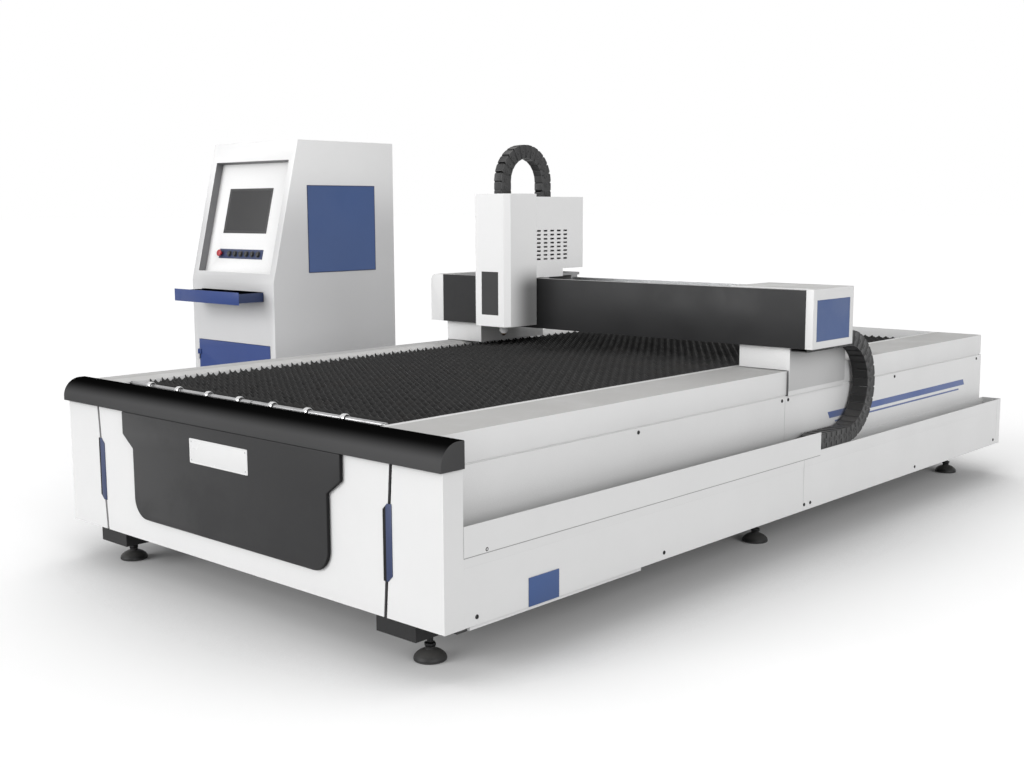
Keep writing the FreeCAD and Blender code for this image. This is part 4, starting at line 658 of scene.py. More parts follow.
# ---------------------------------------------------------------- modelling
class Work:
    """One mesh on the bench, shaped with Blender's own tools."""

    def __init__(self, item: bpy.types.Object, name: str) -> None:
        """Take over a mesh object."""
        self.item = item
        item.name = name
        item.data.name = name

    @staticmethod
    def clear() -> None:
        """Leave edit mode and deselect everything."""
        if bpy.context.mode != "OBJECT":
            bpy.ops.object.mode_set(mode="OBJECT")
        bpy.ops.object.select_all(action="DESELECT")

    def hold(self) -> None:
        """Make this the only selected object and the active one."""
        self.clear()
        self.item.select_set(True)
        bpy.context.view_layer.objects.active = self.item

    def edit(self) -> None:
        """Enter edit mode on this mesh."""
        self.hold()
        bpy.ops.object.mode_set(mode="EDIT")

    def apply(self) -> "Work":
        """Put the object's place, turn and size into its mesh."""
        self.hold()
        bpy.ops.object.transform_apply(location=True, rotation=True, scale=True)
        return self

    @classmethod
    def block(cls, name: str, low: Sequence[float], high: Sequence[float]) -> "Work":
        """Start from a block between two corners in metres."""
        cls.clear()
        low, high = Vector(low), Vector(high)
        bpy.ops.mesh.primitive_cube_add(size=1.0, location=(low + high) / 2, scale=high - low)
        return cls(bpy.context.active_object, name).apply()

    @classmethod
    def turned(cls, name: str, profile: Sequence[tuple[float, float]], sides: int = 24,
               place: Matrix | None = None) -> "Work":
        """Turn a shape ring by ring, as on a lathe.

        Args:
            name: name of the piece.
            profile: radius and height of each ring in metres, from the closed start to the closed end.
            sides: faces round the axis.
            place: turns and moves the Z axis to its place.

        Returns:
            The closed shape.
        """
        cls.clear()
        radius, height = profile[0]
        bpy.ops.mesh.primitive_circle_add(vertices=sides, radius=radius, fill_type="NGON",
                                          location=(0, 0, height))
        work = cls(bpy.context.active_object, name).apply()
        work.edit()
        bpy.ops.mesh.select_all(action="SELECT")
        for new_radius, new_height in profile[1:]:
            bpy.ops.mesh.extrude_region_move(TRANSFORM_OT_translate={"value": (0, 0, new_height - height)})
            ratio = new_radius / radius
            bpy.ops.transform.resize(value=(ratio, ratio, 1.0), center_override=(0, 0, new_height))
            radius, height = new_radius, new_height
        bpy.ops.mesh.select_all(action="SELECT")
        bpy.ops.mesh.normals_make_consistent(inside=False)
        bpy.ops.object.mode_set(mode="OBJECT")
        return work.put(place) if place else work

    @classmethod
    def copy_of(cls, node: str, name: str) -> "Work":
        """Start from a merged copy of a CAD node's mesh, with its flat faces made whole."""
        cls.clear()
        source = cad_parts[node]
        item = bpy.data.objects.new(name, source.data.copy())
        bpy.context.scene.collection.objects.link(item)
        work = cls(item, name)
        work.edit()
        bpy.ops.mesh.select_all(action="SELECT")
        bpy.ops.mesh.remove_doubles(threshold=MERGE)
        bpy.ops.mesh.customdata_custom_splitnormals_clear()
        bpy.ops.mesh.dissolve_limited(angle_limit=math.radians(0.6))
        bpy.ops.object.mode_set(mode="OBJECT")
        item.data.materials.clear()
        return work

    def put(self, place: Matrix) -> "Work":
        """Turn and move the mesh by a matrix."""
        self.item.matrix_world = place @ self.item.matrix_world
        return self.apply()

    def points(self) -> list[Vector]:
        """Return the places of the mesh's points."""
        return [vertex.co.copy() for vertex in self.item.data.vertices]

    def pick(self, test: Test, kind: Kind = Kind.FACE) -> "Work":
        """Select the parts of the mesh that a test names.

        Args:
            test: takes the middle and the normal of a part; an edge gives its direction as the normal.
            kind: faces, edges or points.

        Returns:
            This mesh, in edit mode.
        """
        if bpy.context.mode != "EDIT_MESH":
            self.edit()
        bpy.ops.mesh.select_mode(type=kind.value)
        bpy.ops.mesh.select_all(action="DESELECT")
        mesh = bmesh.from_edit_mesh(self.item.data)
        mesh.normal_update()
        if kind is Kind.FACE:
            parts = [(face, face.calc_center_median(), face.normal) for face in mesh.faces]
        elif kind is Kind.EDGE:
            parts = [(e, (e.verts[0].co + e.verts[1].co) / 2, (e.verts[1].co - e.verts[0].co).normalized())
                     for e in mesh.edges]
        else:
            parts = [(v, v.co, v.normal) for v in mesh.verts]
        for part, middle, normal in parts:
            if test(middle, normal):
                part.select_set(True)
        mesh.select_flush_mode()
        bmesh.update_edit_mesh(self.item.data)
        return self

    def inset(self, width: float, depth: float = 0.0) -> "Work":
        """Inset the selected faces and push them in by a depth, or out where it is negative."""
        bpy.ops.mesh.inset(thickness=width, depth=-depth, use_even_offset=True)
        return self

    def push(self, offset: Sequence[float]) -> "Work":
        """Extrude the selected faces by an offset in metres."""
        bpy.ops.mesh.extrude_region_move(TRANSFORM_OT_translate={"value": tuple(offset)})
        return self

    def split(self, *places: float) -> "Work":
        """Cut the faces of the mesh at places along X."""
        for place in places:
            self.edit()
            bpy.ops.mesh.select_all(action="SELECT")
            bpy.ops.mesh.bisect(plane_co=(place, 0, 0), plane_no=(1, 0, 0))
        return self

    def move(self, offset: Sequence[float]) -> "Work":
        """Move what is selected."""
        bpy.ops.transform.translate(value=tuple(offset))
        return self

    def bevel(self, width: float, segments: int = 2) -> "Work":
        """Round the selected edges."""
        bpy.ops.mesh.bevel(offset=width, segments=segments, affect="EDGES", clamp_overlap=True)
        return self

    def modify(self, kind: str, **settings: Any) -> "Work":
        """Add a modifier, set it and apply it."""
        self.hold()
        modifier = self.item.modifiers.new(kind.lower(), kind)
        for name, value in settings.items():
            setattr(modifier, name, value)
        bpy.ops.object.modifier_apply(modifier=modifier.name)
        return self

    def row(self, count: int, step: Sequence[float]) -> "Work":
        """Repeat the mesh in a row with a fixed step in metres."""
        return self.modify("ARRAY", count=count, use_relative_offset=False, use_constant_offset=True,
                           constant_offset_displace=tuple(step))

    def soften(self, width: float, segments: int = 2, angle: float = EDGE_ANGLE) -> "Work":
        """Round every edge sharper than an angle in degrees."""
        return self.modify("BEVEL", width=width, segments=segments, limit_method="ANGLE",
                           angle_limit=math.radians(angle))

    def join(self, others: Iterable["Work"]) -> "Work":
        """Join other meshes into this one."""
        others = list(others)
        self.hold()
        for other in others:
            other.item.select_set(True)
        if others:
            bpy.ops.object.join()
        return self

    def copies(self, places: Sequence[Matrix]) -> "Work":
        """Set a copy with a mesh of its own at each place and keep only those, as one piece."""
        name = self.item.name
        made = []
        for place in places:
            item = self.item.copy()
            item.data = self.item.data.copy()
            bpy.context.scene.collection.objects.link(item)
            item.data.transform(place)
            made.append(Work(item, name + "_copy"))
        self.drop()
        first = made[0].join(made[1:])
        first.item.name = name
        first.item.data.name = name
        return first

    def drop(self) -> None:
        """Remove this mesh from the scene."""
        self.clear()
        mesh = self.item.data
        bpy.data.objects.remove(self.item)
        bpy.data.meshes.remove(mesh)

    def coat(self, finish: Finish, test: Test | None = None) -> "Work":
        """Give the mesh a finish, or only the faces that a test names."""
        self.hold()
        if test:
            return self.pick(test).fill(finish)
        self.item.data.materials.append(finish.material())
        for face in self.item.data.polygons:
            face.material_index = len(self.item.data.materials) - 1
        return self

    def fill(self, finish: Finish) -> "Work":
        """Give the selected faces a finish, and leave edit mode."""
        self.item.data.materials.append(finish.material())
        self.item.active_material_index = len(self.item.data.materials) - 1
        bpy.ops.object.material_slot_assign()
        bpy.ops.object.mode_set(mode="OBJECT")
        return self

    def stand_for(self, slot: Slot, nodes: Sequence[str], angle: float = 32.0) -> None:
        """Shade the piece, with edges sharper than an angle left sharp, and hide the CAD nodes that it stands
        for.
        """
        self.hold()
        bpy.ops.object.shade_smooth_by_angle(angle=math.radians(angle))
        if nodes:
            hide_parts(*nodes)

    def place_on(self, body: str, slot: Slot, *nodes: str, angle: float = 32.0) -> None:
        """Shade the piece, hide the CAD nodes that it replaces and hang it on its body.

        Args:
            body: CAD body that carries the piece.
            slot: the slot of its finish; not used.
            nodes: CAD nodes that it replaces.
            angle: edges sharper than this stay sharp.
        """
        self.stand_for(slot, nodes, angle)
        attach(self.item, body)
        log.info("piece %s on %s: %d faces", self.item.name, body, len(self.item.data.polygons))

    def stretch_between(self, bodies: tuple[str, str], node: str, start: Sequence[float],
                        end: Sequence[float]) -> None:
        """Shade a run of chain, hide the CAD node that it replaces and bake its place into its mesh.

        Args:
            bodies: CAD bodies at the start and at the end.
            node: CAD node that it replaces.
            start: place in metres at the start of the run; not used.
            end: place in metres at the end of the run; not used.
        """
        self.stand_for(Slot.CHAIN, [node])
        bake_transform(self.item)
        log.info("piece %s follows %s and %s", self.item.name, *bodies)


def carry(node: str, finish: Finish, width: float = 0.0012) -> None:
    """Keep a CAD node, with a finish and lightly broken edges.

    Args:
        node: name of the node.
        finish: its finish.
        width: width of the broken edges in metres, or 0 for none.
    """
    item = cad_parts[node]
    if not item.material_slots:
        item.data.materials.append(finish.material())
    for place in item.material_slots:
        place.material = finish.material()
    if width:
        weld = item.modifiers.new("weld", "WELD")
        weld.merge_threshold = MERGE
        edges = item.modifiers.new("broken_edges", "BEVEL")
        edges.width = width
        edges.segments = 2
        edges.limit_method = "ANGLE"
        edges.angle_limit = math.radians(EDGE_ANGLE)
    log.info("node %s keeps its shape", node)


def remake(node: str, finish: Finish, width: float = 0.0012) -> Work:
    """Return a merged copy of a CAD node with rounded edges and its finish, not yet placed."""
    work = Work.copy_of(node, node + "_skin")
    if width:
        work.soften(width)
    return work.coat(finish)


def frame_at(place: Sequence[float], towards: Sequence[float] = (0, 0, 1)) -> Matrix:
    """Return the matrix that sends the origin to a place and the Z axis along a direction."""
    turn = Vector((0, 0, 1)).rotation_difference(Vector(towards)).to_matrix().to_4x4()
    return Matrix.Translation(Vector(place)) @ turn


def in_plane_yz(y: float, z: float, angle: float, x: float = 0.0) -> Matrix:
    """Return the matrix that turns about X by an angle from +Y towards +Z and moves to a point."""
    return Matrix.Translation((x, y, z)) @ Matrix.Rotation(angle, 4, "X")


def mirrored(rings: Sequence[tuple[float, float]], middle: float = 0.0) -> list[tuple[float, float]]:
    """Return the rings of a lathe profile, followed by their mirror image about a height."""
    return [*rings, *((radius, 2 * middle - height) for radius, height in reversed(rings))]


@dataclass(frozen=True)
class SocketScrew:
    """Black button-head screw with a hexagon socket."""

    radius: float = 0.0075
    height: float = 0.0028
    sides: int = 12
    sunk: float = 0.001
    socket: float = 0.52
    flat: float = 0.88
    depth: float = 0.75

    def master(self) -> Work:
        """Return one screw on the origin, looking up."""
        r, top, key = self.radius, self.height, self.radius * self.socket
        level = top - 1e-5
        profile = [(r, -self.sunk), (r, top * 0.35), (r * 0.86, top * 0.8), (r * 0.66, top), (key, top)]
        work = Work.turned("screw", profile, self.sides)
        work.pick(lambda at, _: at.z > level and math.hypot(at.x, at.y) < key * 1.02
                  and round(math.degrees(math.atan2(at.y, at.x)) * self.sides / 360) % 2 == 1, Kind.POINT)
        bpy.ops.transform.resize(value=(self.flat, self.flat, 1.0), center_override=(0, 0, top))
        work.pick(lambda at, n: at.z > level and n.z > FACING and math.hypot(at.x, at.y) < key * 0.2)
        work.push((0, 0, -top * self.depth))
        bpy.ops.object.mode_set(mode="OBJECT")
        return work

    def set_in(self, name: str, body: str, spots: Iterable[tuple[Sequence[float], Sequence[float]]]) -> None:
        """Put a screw at each place, looking along its direction."""
        work = self.master()
        work.item.name = name
        work = work.copies([frame_at(at, towards) for at, towards in spots])
        work.coat(SCREW).place_on(body, Slot.FRAME)


# ---------------------------------------------------------------- studio
@dataclass(frozen=True)
class Lamp:
    """One broad soft lamp that shines from a place towards the machine."""

    name: str
    strength: float
    place: tuple[float, float, float]
    angle: float

    def build(self) -> None:
        """Add the lamp to the scene."""
        data = bpy.data.lights.new(self.name, "SUN")
        data.energy, data.angle = self.strength, math.radians(self.angle)
        item = bpy.data.objects.new(self.name, data)
        item.matrix_world = frame_at(self.place, Vector(self.place).normalized())
        bpy.context.scene.collection.objects.link(item)


@dataclass
class Studio:
    """Camera, lamps, world and floor, as in the photograph."""

    camera_place: tuple[float, float, float] = (4.5628, -4.6470, 1.4321)
    yaw: float = 42.5594
    pitch: float = 7.9014
    roll: float = -0.2208
    lens: float = 44.18
    sensor: float = 36.0
    far: float = 1000.0
    lamps: tuple[Lamp, ...] = (Lamp("key", 1.95, (-24.0, -78.0, 26.0), 40.0),
                               Lamp("fill", 1.55, (62.0, -18.0, 20.0), 50.0))
    ambient: float = 0.42
    floor_size: float = 400.0
    floor_drop: float = 0.0005
    floor_lit: float = 0.6
    floor_seen: float = 0.84
    floor_lift: float = 0.42
    shadow_reach: float = 1.7
    shadow: tuple[float, float] = (0.55, 0.97)

    def build(self) -> None:
        """Set the view, then make the camera, lamps, world and floor."""
        bpy.context.scene.view_settings.view_transform = "Standard"
        self.camera()
        for lamp in self.lamps:
            lamp.build()
        self.world()
        self.floor()

    def camera(self) -> None:
        """Place the camera at the photograph's viewpoint."""
        yaw, pitch, roll = (math.radians(v) for v in (self.yaw, self.pitch, self.roll))
        level = math.cos(pitch)
        ahead = Vector((-math.sin(yaw) * level, math.cos(yaw) * level, -math.sin(pitch)))
        right = Vector((math.cos(yaw), math.sin(yaw), 0.0))
        up = right.cross(ahead)
        side = right * math.cos(roll) + up * math.sin(roll)
        top = up * math.cos(roll) - right * math.sin(roll)
        data = bpy.data.cameras.new("camera")
        data.lens, data.sensor_width, data.clip_end = self.lens, self.sensor, self.far
        item = bpy.data.objects.new("camera", data)
        turn = Matrix((side, top, -ahead)).transposed().to_4x4()
        item.matrix_world = Matrix.Translation(self.camera_place) @ turn
        bpy.context.scene.collection.objects.link(item)
        bpy.context.scene.camera = item

    @staticmethod
    def seen(graph: Graph) -> bpy.types.NodeSocket:
        """Return 1 for rays that show the background: from the camera, off gloss and through glass."""
        rays = graph.add("ShaderNodeLightPath").outputs
        both = graph.math("MAXIMUM", rays["Is Camera Ray"], rays["Is Glossy Ray"])
        return graph.math("MAXIMUM", both, rays["Is Transmission Ray"])

    def world(self) -> None:
        """White where it is seen, dimmer as light."""
        world = bpy.data.worlds.new("studio")
        bpy.context.scene.world = world
        world.use_nodes = True
        world.node_tree.nodes.clear()
        graph = Graph(world.node_tree)
        strength = graph.spread(self.seen(graph), 0.0, 1.0, self.ambient, 1.0)
        back = graph.add("ShaderNodeBackground", {"Color": (1, 1, 1, 1), "Strength": strength})
        graph.add("ShaderNodeOutputWorld", {"Surface": back.outputs[0]})

    def floor(self) -> None:
        """Pale floor that melts into the background and keeps the shadow, deepened near the machine by
        painted shadow.
        """
        Work.clear()
        bpy.ops.mesh.primitive_plane_add(size=self.floor_size, location=(0, 0, -self.floor_drop))
        work = Work(bpy.context.active_object, "floor").apply()
        material = bpy.data.materials.new("floor")
        material.use_nodes = True
        material.node_tree.nodes.clear()
        graph = Graph(material.node_tree)
        lit, shown = (graph.add("ShaderNodeBsdfDiffuse", {"Color": (grey, grey, grey, 1)}).outputs[0]
                      for grey in (self.floor_lit, self.floor_seen))
        # painted shadow: the floor's glow fades where ambient occlusion finds the machine close by
        free = graph.add("ShaderNodeAmbientOcclusion", {"Distance": self.shadow_reach}, samples=16)
        strength = graph.spread(free.outputs["AO"], *self.shadow, 0.0, self.floor_lift)
        lift = graph.add("ShaderNodeEmission", {"Color": (1, 1, 1, 1), "Strength": strength})
        lifted = graph.add("ShaderNodeAddShader", {0: shown, 1: lift.outputs[0]})
        mixed = graph.add("ShaderNodeMixShader", {0: self.seen(graph), 1: lit, 2: lifted.outputs[0]})
        graph.add("ShaderNodeOutputMaterial", {"Surface": mixed.outputs[0]})
        work.item.data.materials.append(material)


# ---------------------------------------------------------------- bed
@dataclass
class Bed:
    """Casings, hoods, cover plates, bumper and apron of the bed."""

    beam_side: float = 1.6
    groove: tuple[float, float] = (0.21, 0.275)
    groove_depth: tuple[float, float] = (0.001, 0.0101)
    lip: float = 0.042
    lip_drop: float = 0.012
    painted_highlight_band: float = 0.026
    plate_front: float = -2.05
    cabinet_gap: float = 0.2
    left_reveal: float = 0.010
    right_reveal: float = 0.014
    rim: float = 0.005
    rim_step: float = 0.0006
    rim_depth: float = 0.004
    bumper_round: float = 0.006
    apron_hold: float = 0.3
    apron_trim: float = 0.025
    apron_rim: float = 0.006

    def build(self) -> None:
        """Dress the CAD nodes and add the bed's own pieces."""
        for node in ("base_rails", "cross_members", "slat_ledges"):
            carry(node, FRAME)
        beams = remake("side_beams", FRAME, 0.0)
        beams.coat(WHITE, lambda at, n: at.x > self.beam_side and (n.z > FACING or n.x > FACING))
        beams.place_on("base", Slot.FRAME, "side_beams")
        self.hoods()
        self.front()
        for node in ("left_side_casing", "rear_panel", "cable_tray", "front_deck"):
            carry(node, WHITE)
        carry("right_side_casing", STRIPE_WHITE)
        for node in ("linear_rails", "drive_racks"):
            carry(node, GUIDE, 0.0)
        self.plates()
        self.bumper()
        BrushSeals().build()
        SillStrip().build()
        self.apron()
        ApronPlate().build()
        PanelScrews().build()
        LevellingFeet().build()

    def front(self) -> None:
        """Paint shade into the two grooves between the front panel and its columns."""
        work = remake("front_casing", WHITE, 0.0)
        low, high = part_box("front_casing")
        near, far = self.groove
        start, end = (low.y + depth for depth in self.groove_depth)
        work.coat(RECESS_SHADE, lambda at, _: start < at.y < end and near < min(at.x - low.x, high.x - at.x) < far)
        work.place_on("base", Slot.WHITE, "front_casing")

    def hoods(self) -> None:
        """Fold down the inner lips of the two hoods so the teeth show over them, paint shade on their tops
        and a painted highlight along the right hood's inner edge.
        """
        work = Work.copy_of("rail_covers", "rail_covers_skin")
        low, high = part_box("rail_covers")
        middle, near = (low.x + high.x) / 2, 0.003
        inner_left = max(at.x for at in work.points() if at.x < middle)
        inner_right = min(at.x for at in work.points() if at.x > middle)
        fold_left, fold_right = inner_left - self.lip, inner_right + self.lip
        band = fold_right + self.painted_highlight_band
        work.split(fold_left, fold_right, band)
        work.pick(lambda at, _: at.z > high.z - near and inner_left - near < at.x < inner_right + near,
                  Kind.POINT)
        work.move((0, 0, -self.lip_drop))
        work.soften(0.0012, angle=12.0)
        # painted shade: the hoods' top faces take the grey copy of the white coat
        work.coat(WHITE).coat(HOOD_TOP_SHADE, lambda at, n: n.z > FACING and at.z > high.z - NEAR)
        # painted highlight: a band of the lighter white along the right hood's inner edge
        work.coat(WHITE_PAINTED_LIGHT, lambda at, _: fold_right - 0.002 < at.x < band)
        work.place_on("base", Slot.WHITE, "rail_covers")

    def bumper(self) -> None:
        """Round the folded bumper's edges, more at the top of its rear."""
        work = Work.copy_of("front_bumper", "front_bumper_skin")
        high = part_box("front_bumper")[1]
        rear, top = high.y - NEAR, high.z - NEAR
        work.pick(lambda at, d: abs(d.x) > FACING and at.y > rear and at.z > top, Kind.EDGE)
        work.bevel(self.bumper_round, 4)
        work.soften(0.002, 3)
        work.coat(BUMPER).place_on("base", Slot.DARK, "front_bumper", angle=EDGE_ANGLE)

    def apron(self) -> None:
        """Give the apron a folded rim, draw its right edge in and paint shade on its faces that turn right.
        """
        work = Work.copy_of("front_apron", "front_apron_skin")
        low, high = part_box("front_apron")
        held = (low.x + high.x) / 2 + self.apron_hold
        work.pick(lambda at, _: at.x > held, Kind.POINT)
        work.move((-self.apron_trim, 0, 0))
        work.soften(self.apron_rim, 4)
        work.coat(DARK).coat(EDGE_SHADE, lambda at, n: n.y > -0.75 and n.x > 0.2)
        work.place_on("base", Slot.DARK, "front_apron")

    def plates(self) -> None:
        """Blue plates: the two of the front with painted shade in the reveal beside them, the cabinet's large
        one with a dark rim.
        """
        work = Work.copy_of("cover_plates", "cover_plates_skin")
        fronts = [at.x for at in work.points() if at.y < self.plate_front]
        left, middle = min(fronts), (min(fronts) + max(fronts)) / 2
        right = min(x for x in fronts if x > middle)
        left_edge, right_edge = left + self.left_reveal, right + self.right_reveal
        cabinet = left - self.cabinet_gap
        work.split(left_edge, right_edge)
        work.pick(lambda at, n: n.x > FACING and at.x < cabinet)
        work.inset(self.rim).inset(self.rim_step, self.rim_step)
        work.soften(0.0006)
        work.coat(BLUE).coat(NAVY, lambda at, _: at.y < self.plate_front)
        work.coat(EDGE_SHADE, lambda at, _: at.y < self.plate_front
                  and (at.x < left_edge or right < at.x < right_edge))
        side = [at for at in work.points() if at.x < cabinet]
        low, high = (Vector([pick(at[axis] for at in side) for axis in range(3)]) for pick in (min, max))
        work.coat(NAVY, lambda at, _: high.x - self.rim_depth < at.x < cabinet
                  and min(at.y - low.y, high.y - at.y, at.z - low.z, high.z - at.z) < self.rim)
        work.place_on("base", Slot.BLUE, "cover_plates")


@dataclass
class BrushSeals:
    """Brush strips behind the slot that the gantry's arms pass through, on both sides."""

    depth: tuple[float, float] = (0.0025, 0.0045)
    ends: float = 0.02
    strips: tuple[tuple[float, float], ...] = ((0.6385, 0.6457), (0.6463, 0.6535))

    def build(self) -> None:
        """Make a pair of strips on each side of the bed."""
        low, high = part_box("rail_covers")
        near, far = self.depth
        for name, x0, x1 in (("right", high.x - far, high.x - near), ("left", low.x + near, low.x + far)):
            made = []
            for z0, z1 in self.strips:
                strip = Work.block("strip", (x0, low.y + self.ends, z0), (x1, high.y - self.ends, z1))
                strip.pick(lambda at, n: abs(n.x) > FACING)
                made.append(strip.inset(0.0009, 0.0003))
            made[0].item.name = name + "_brush_seal"
            made[0].join(made[1:]).coat(SEAL).place_on("base", Slot.WHITE)


@dataclass
class SillStrip:
    """Folded strip under the right casing, with a rubber stop before it."""

    start: float = -1.99
    end: float = -1.112
    inner: float = 1.918
    outer: float = 1.9425
    height: float = 0.015
    wall: float = 0.003
    hollow: float = 0.010
    stop_inner: float = 1.912
    stop_height: float = 0.014
    stop_near: float = 0.010
    stop_far: float = 0.056

    def build(self) -> None:
        """Make the strip, then the stop, as one piece."""
        top = CASING_UNDERSIDE
        strip = Work.block("sill_strip", (self.inner, self.start, top - self.height),
                           (self.outer, self.end, top))
        strip.pick(lambda at, n: n.z < -FACING).inset(self.wall, self.hollow)
        strip.soften(0.001)
        stop = Work.block("stop", (self.stop_inner, self.start - self.stop_far, top - self.stop_height),
                          (self.outer, self.start - self.stop_near, top))
        stop.soften(0.003).coat(RUBBER)
        strip.coat(WHITE).join([stop]).place_on("base", Slot.WHITE)


@dataclass
class ApronPlate:
    """Bare plate on the apron, with a thin groove and four rivets."""

    centre: float = 0.825
    width: float = 0.353
    low: float = 0.5225
    high: float = 0.6135
    face: float = -2.1225
    thickness: float = 0.0016
    margin: float = 0.005
    groove: float = 0.0015
    groove_depth: float = 0.0006
    corner: float = 0.004
    rivet_margin: float = 0.012
    rivet_seat: float = 0.0014
    rivet: tuple[tuple[float, float], ...] = ((0.0035, -0.001), (0.0035, 0.0001), (0.0026, 0.0004),
                                              (0.0012, 0.0005))

    def build(self) -> None:
        """Make the plate and set its rivets."""
        left, right = self.centre - self.width / 2, self.centre + self.width / 2
        work = Work.block("apron_plate", (left, self.face - self.thickness, self.low),
                          (right, self.face, self.high))
        work.pick(lambda at, n: n.y < -FACING).inset(self.margin)
        work.inset(self.groove, self.groove_depth).inset(self.groove, -self.groove_depth)
        work.pick(lambda at, d: abs(d.y) > FACING, Kind.EDGE).bevel(self.corner, 4)
        work.coat(PLATE_WHITE)
        margin, seat = self.rivet_margin, self.face - self.rivet_seat
        spots = [(x, seat, z) for x in (left + margin, right - margin)
                 for z in (self.low + margin, self.high - margin)]
        rivets = Work.turned("rivet", self.rivet, 14).copies([frame_at(spot, (0, -1, 0)) for spot in spots])
        work.join([rivets.coat(ROD)]).place_on("base", Slot.WHITE)


@dataclass
class PanelScrews:
    """Screws along the side casings and the rear panel."""

    lower_face: float = 1.951
    lower_row: float = 0.1885
    lower_joints: tuple[float, ...] = (0.140, 1.122, 2.132, 2.183, 3.192, 4.150)
    cover_spot: tuple[float, float] = (0.185, 0.394)
    upper_face: float = 1.851
    upper_row: float = 0.626
    upper_joints: tuple[float, ...] = (1.093, 2.100, 2.150, 3.148, 4.120)
    rear_columns: tuple[float, ...] = (-0.13, 0.36, 0.85, 1.34, 1.80)
    rear_rows: tuple[float, ...] = (0.2, 0.7)

    def build(self) -> None:
        """Set the screws of the right side, the left side and the rear."""
        lower = [(y, self.lower_row) for y in self.lower_joints]
        upper = [(y, self.upper_row) for y in self.upper_joints]
        right, left, rear = (1.0, 0.0, 0.0), (-1.0, 0.0, 0.0), (0.0, 1.0, 0.0)
        spots = [((self.lower_face, BED_FRONT + y, z), right) for y, z in [*lower, self.cover_spot]]
        spots += [((self.upper_face, BED_FRONT + y, z), right) for y, z in upper]
        SocketScrew().set_in("right_panel_screws", "base", spots)
        left_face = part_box("left_side_casing")[0].x
        spots = [((left_face, BED_FRONT + y, z), left) for y, z in lower]
        SocketScrew().set_in("left_panel_screws", "base", spots)
        rear_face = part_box("rear_panel")[1].y
        spots = [((x, rear_face, z), rear) for x in self.rear_columns for z in self.rear_rows]
        SocketScrew().set_in("rear_panel_screws", "base", spots)


@dataclass
class LevellingFeet:
    """Six levelling feet, each a domed pad on a rubber ring with a threaded stem and two nuts."""

    columns: tuple[float, ...] = (-0.038, 1.740)
    rows: tuple[float, ...] = (-1.9665, -0.014, 1.9385)
    top: float = 0.094
    pad: tuple[tuple[float, float], ...] = (
        (0.050, 0.0), (0.054, 0.002), (0.055, 0.006), (0.0545, 0.010), (0.052, 0.016), (0.0465, 0.0225),
        (0.038, 0.029), (0.028, 0.034), (0.020, 0.0365), (0.0165, 0.038), (0.0162, 0.043), (0.013, 0.0445))
    ring: float = 0.005
    crest: float = 0.0105
    root: float = 0.0093
    thread_start: float = 0.042
    thread_end: float = 0.033
    turn: float = 0.0026
    nut_seats: tuple[float, float] = (0.0455, 0.0145)
    nut_corner: float = 0.0198
    nut_face: float = 0.0165
    nut_height: float = 0.0135
    nut_chamfer: float = 0.0018

    def build(self) -> None:
        """Make one foot and set it at the six places."""
        pad = Work.turned("foot_pad", self.pad, 40)
        pad.coat(FRAME).coat(RUBBER, lambda at, _: at.z < self.ring)
        low_nut, below_top = self.nut_seats
        foot = pad.join([self.stem(), self.nut(low_nut), self.nut(self.top - below_top)])
        foot.item.name = "levelling_feet_set"
        places = [Matrix.Translation((x, y, 0)) for x in self.columns for y in self.rows]
        foot.copies(places).place_on("base", Slot.FRAME, "levelling_feet")

    def stem(self) -> Work:
        """Turn the stem, threaded below its plain end."""
        rings = [(self.crest, self.thread_start)]
        height = self.pad[-1][1]
        while height < self.top - self.thread_end:
            rings += [(self.crest, height), (self.root, height + 0.0012), (self.crest, height + 0.0024)]
            height += self.turn
        return Work.turned("foot_stem", [*rings, (self.crest, self.top - 0.001)], 20).coat(SCREW)

    def nut(self, low: float) -> Work:
        """Make a hexagon nut with chamfered corners."""
        high = low + self.nut_height
        rings = [(self.nut_face, low), (self.nut_corner, low + self.nut_chamfer),
                 (self.nut_corner, high - self.nut_chamfer), (self.nut_face, high)]
        return Work.turned("foot_nut", rings, 6).soften(0.0006, angle=25.0).coat(SCREW)


@dataclass
class SlatField:
    """Toothed slats that carry the sheet."""

    first: float = -1.8496
    count: int = 65
    pitch: float = 0.05628
    teeth: int = 39
    columns: int = 4
    depth: float = 0.0105
    thickness: float = 0.003

    def build(self) -> None:
        """Cut one slat's teeth and repeat it along the bed."""
        low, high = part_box("slats")
        length = high.x - low.x
        middle = Vector(((low.x + high.x) / 2, self.first, (low.z + high.z) / 2))
        Work.clear()
        steps = self.teeth * self.columns
        bpy.ops.mesh.primitive_grid_add(x_subdivisions=steps, y_subdivisions=1, size=1.0, location=middle,
                                        rotation=(math.pi / 2, 0, 0))
        bpy.context.active_object.scale = (length, high.z - low.z, 1.0)
        work = Work(bpy.context.active_object, "toothed_slats").apply()
        step = length / steps
        for phase in range(1, self.columns):
            drop = self.depth * math.sin(math.pi * phase / self.columns)
            work.pick(lambda at, _: at.z > middle.z and round((at.x - low.x) / step) % self.columns == phase,
                      Kind.POINT)
            work.move((0, 0, -drop))
        work.modify("SOLIDIFY", thickness=self.thickness, offset=0.0)
        work.row(self.count, (0, self.pitch, 0))
        work.coat(SLAT).place_on("base", Slot.SLAT, "slats", angle=25)


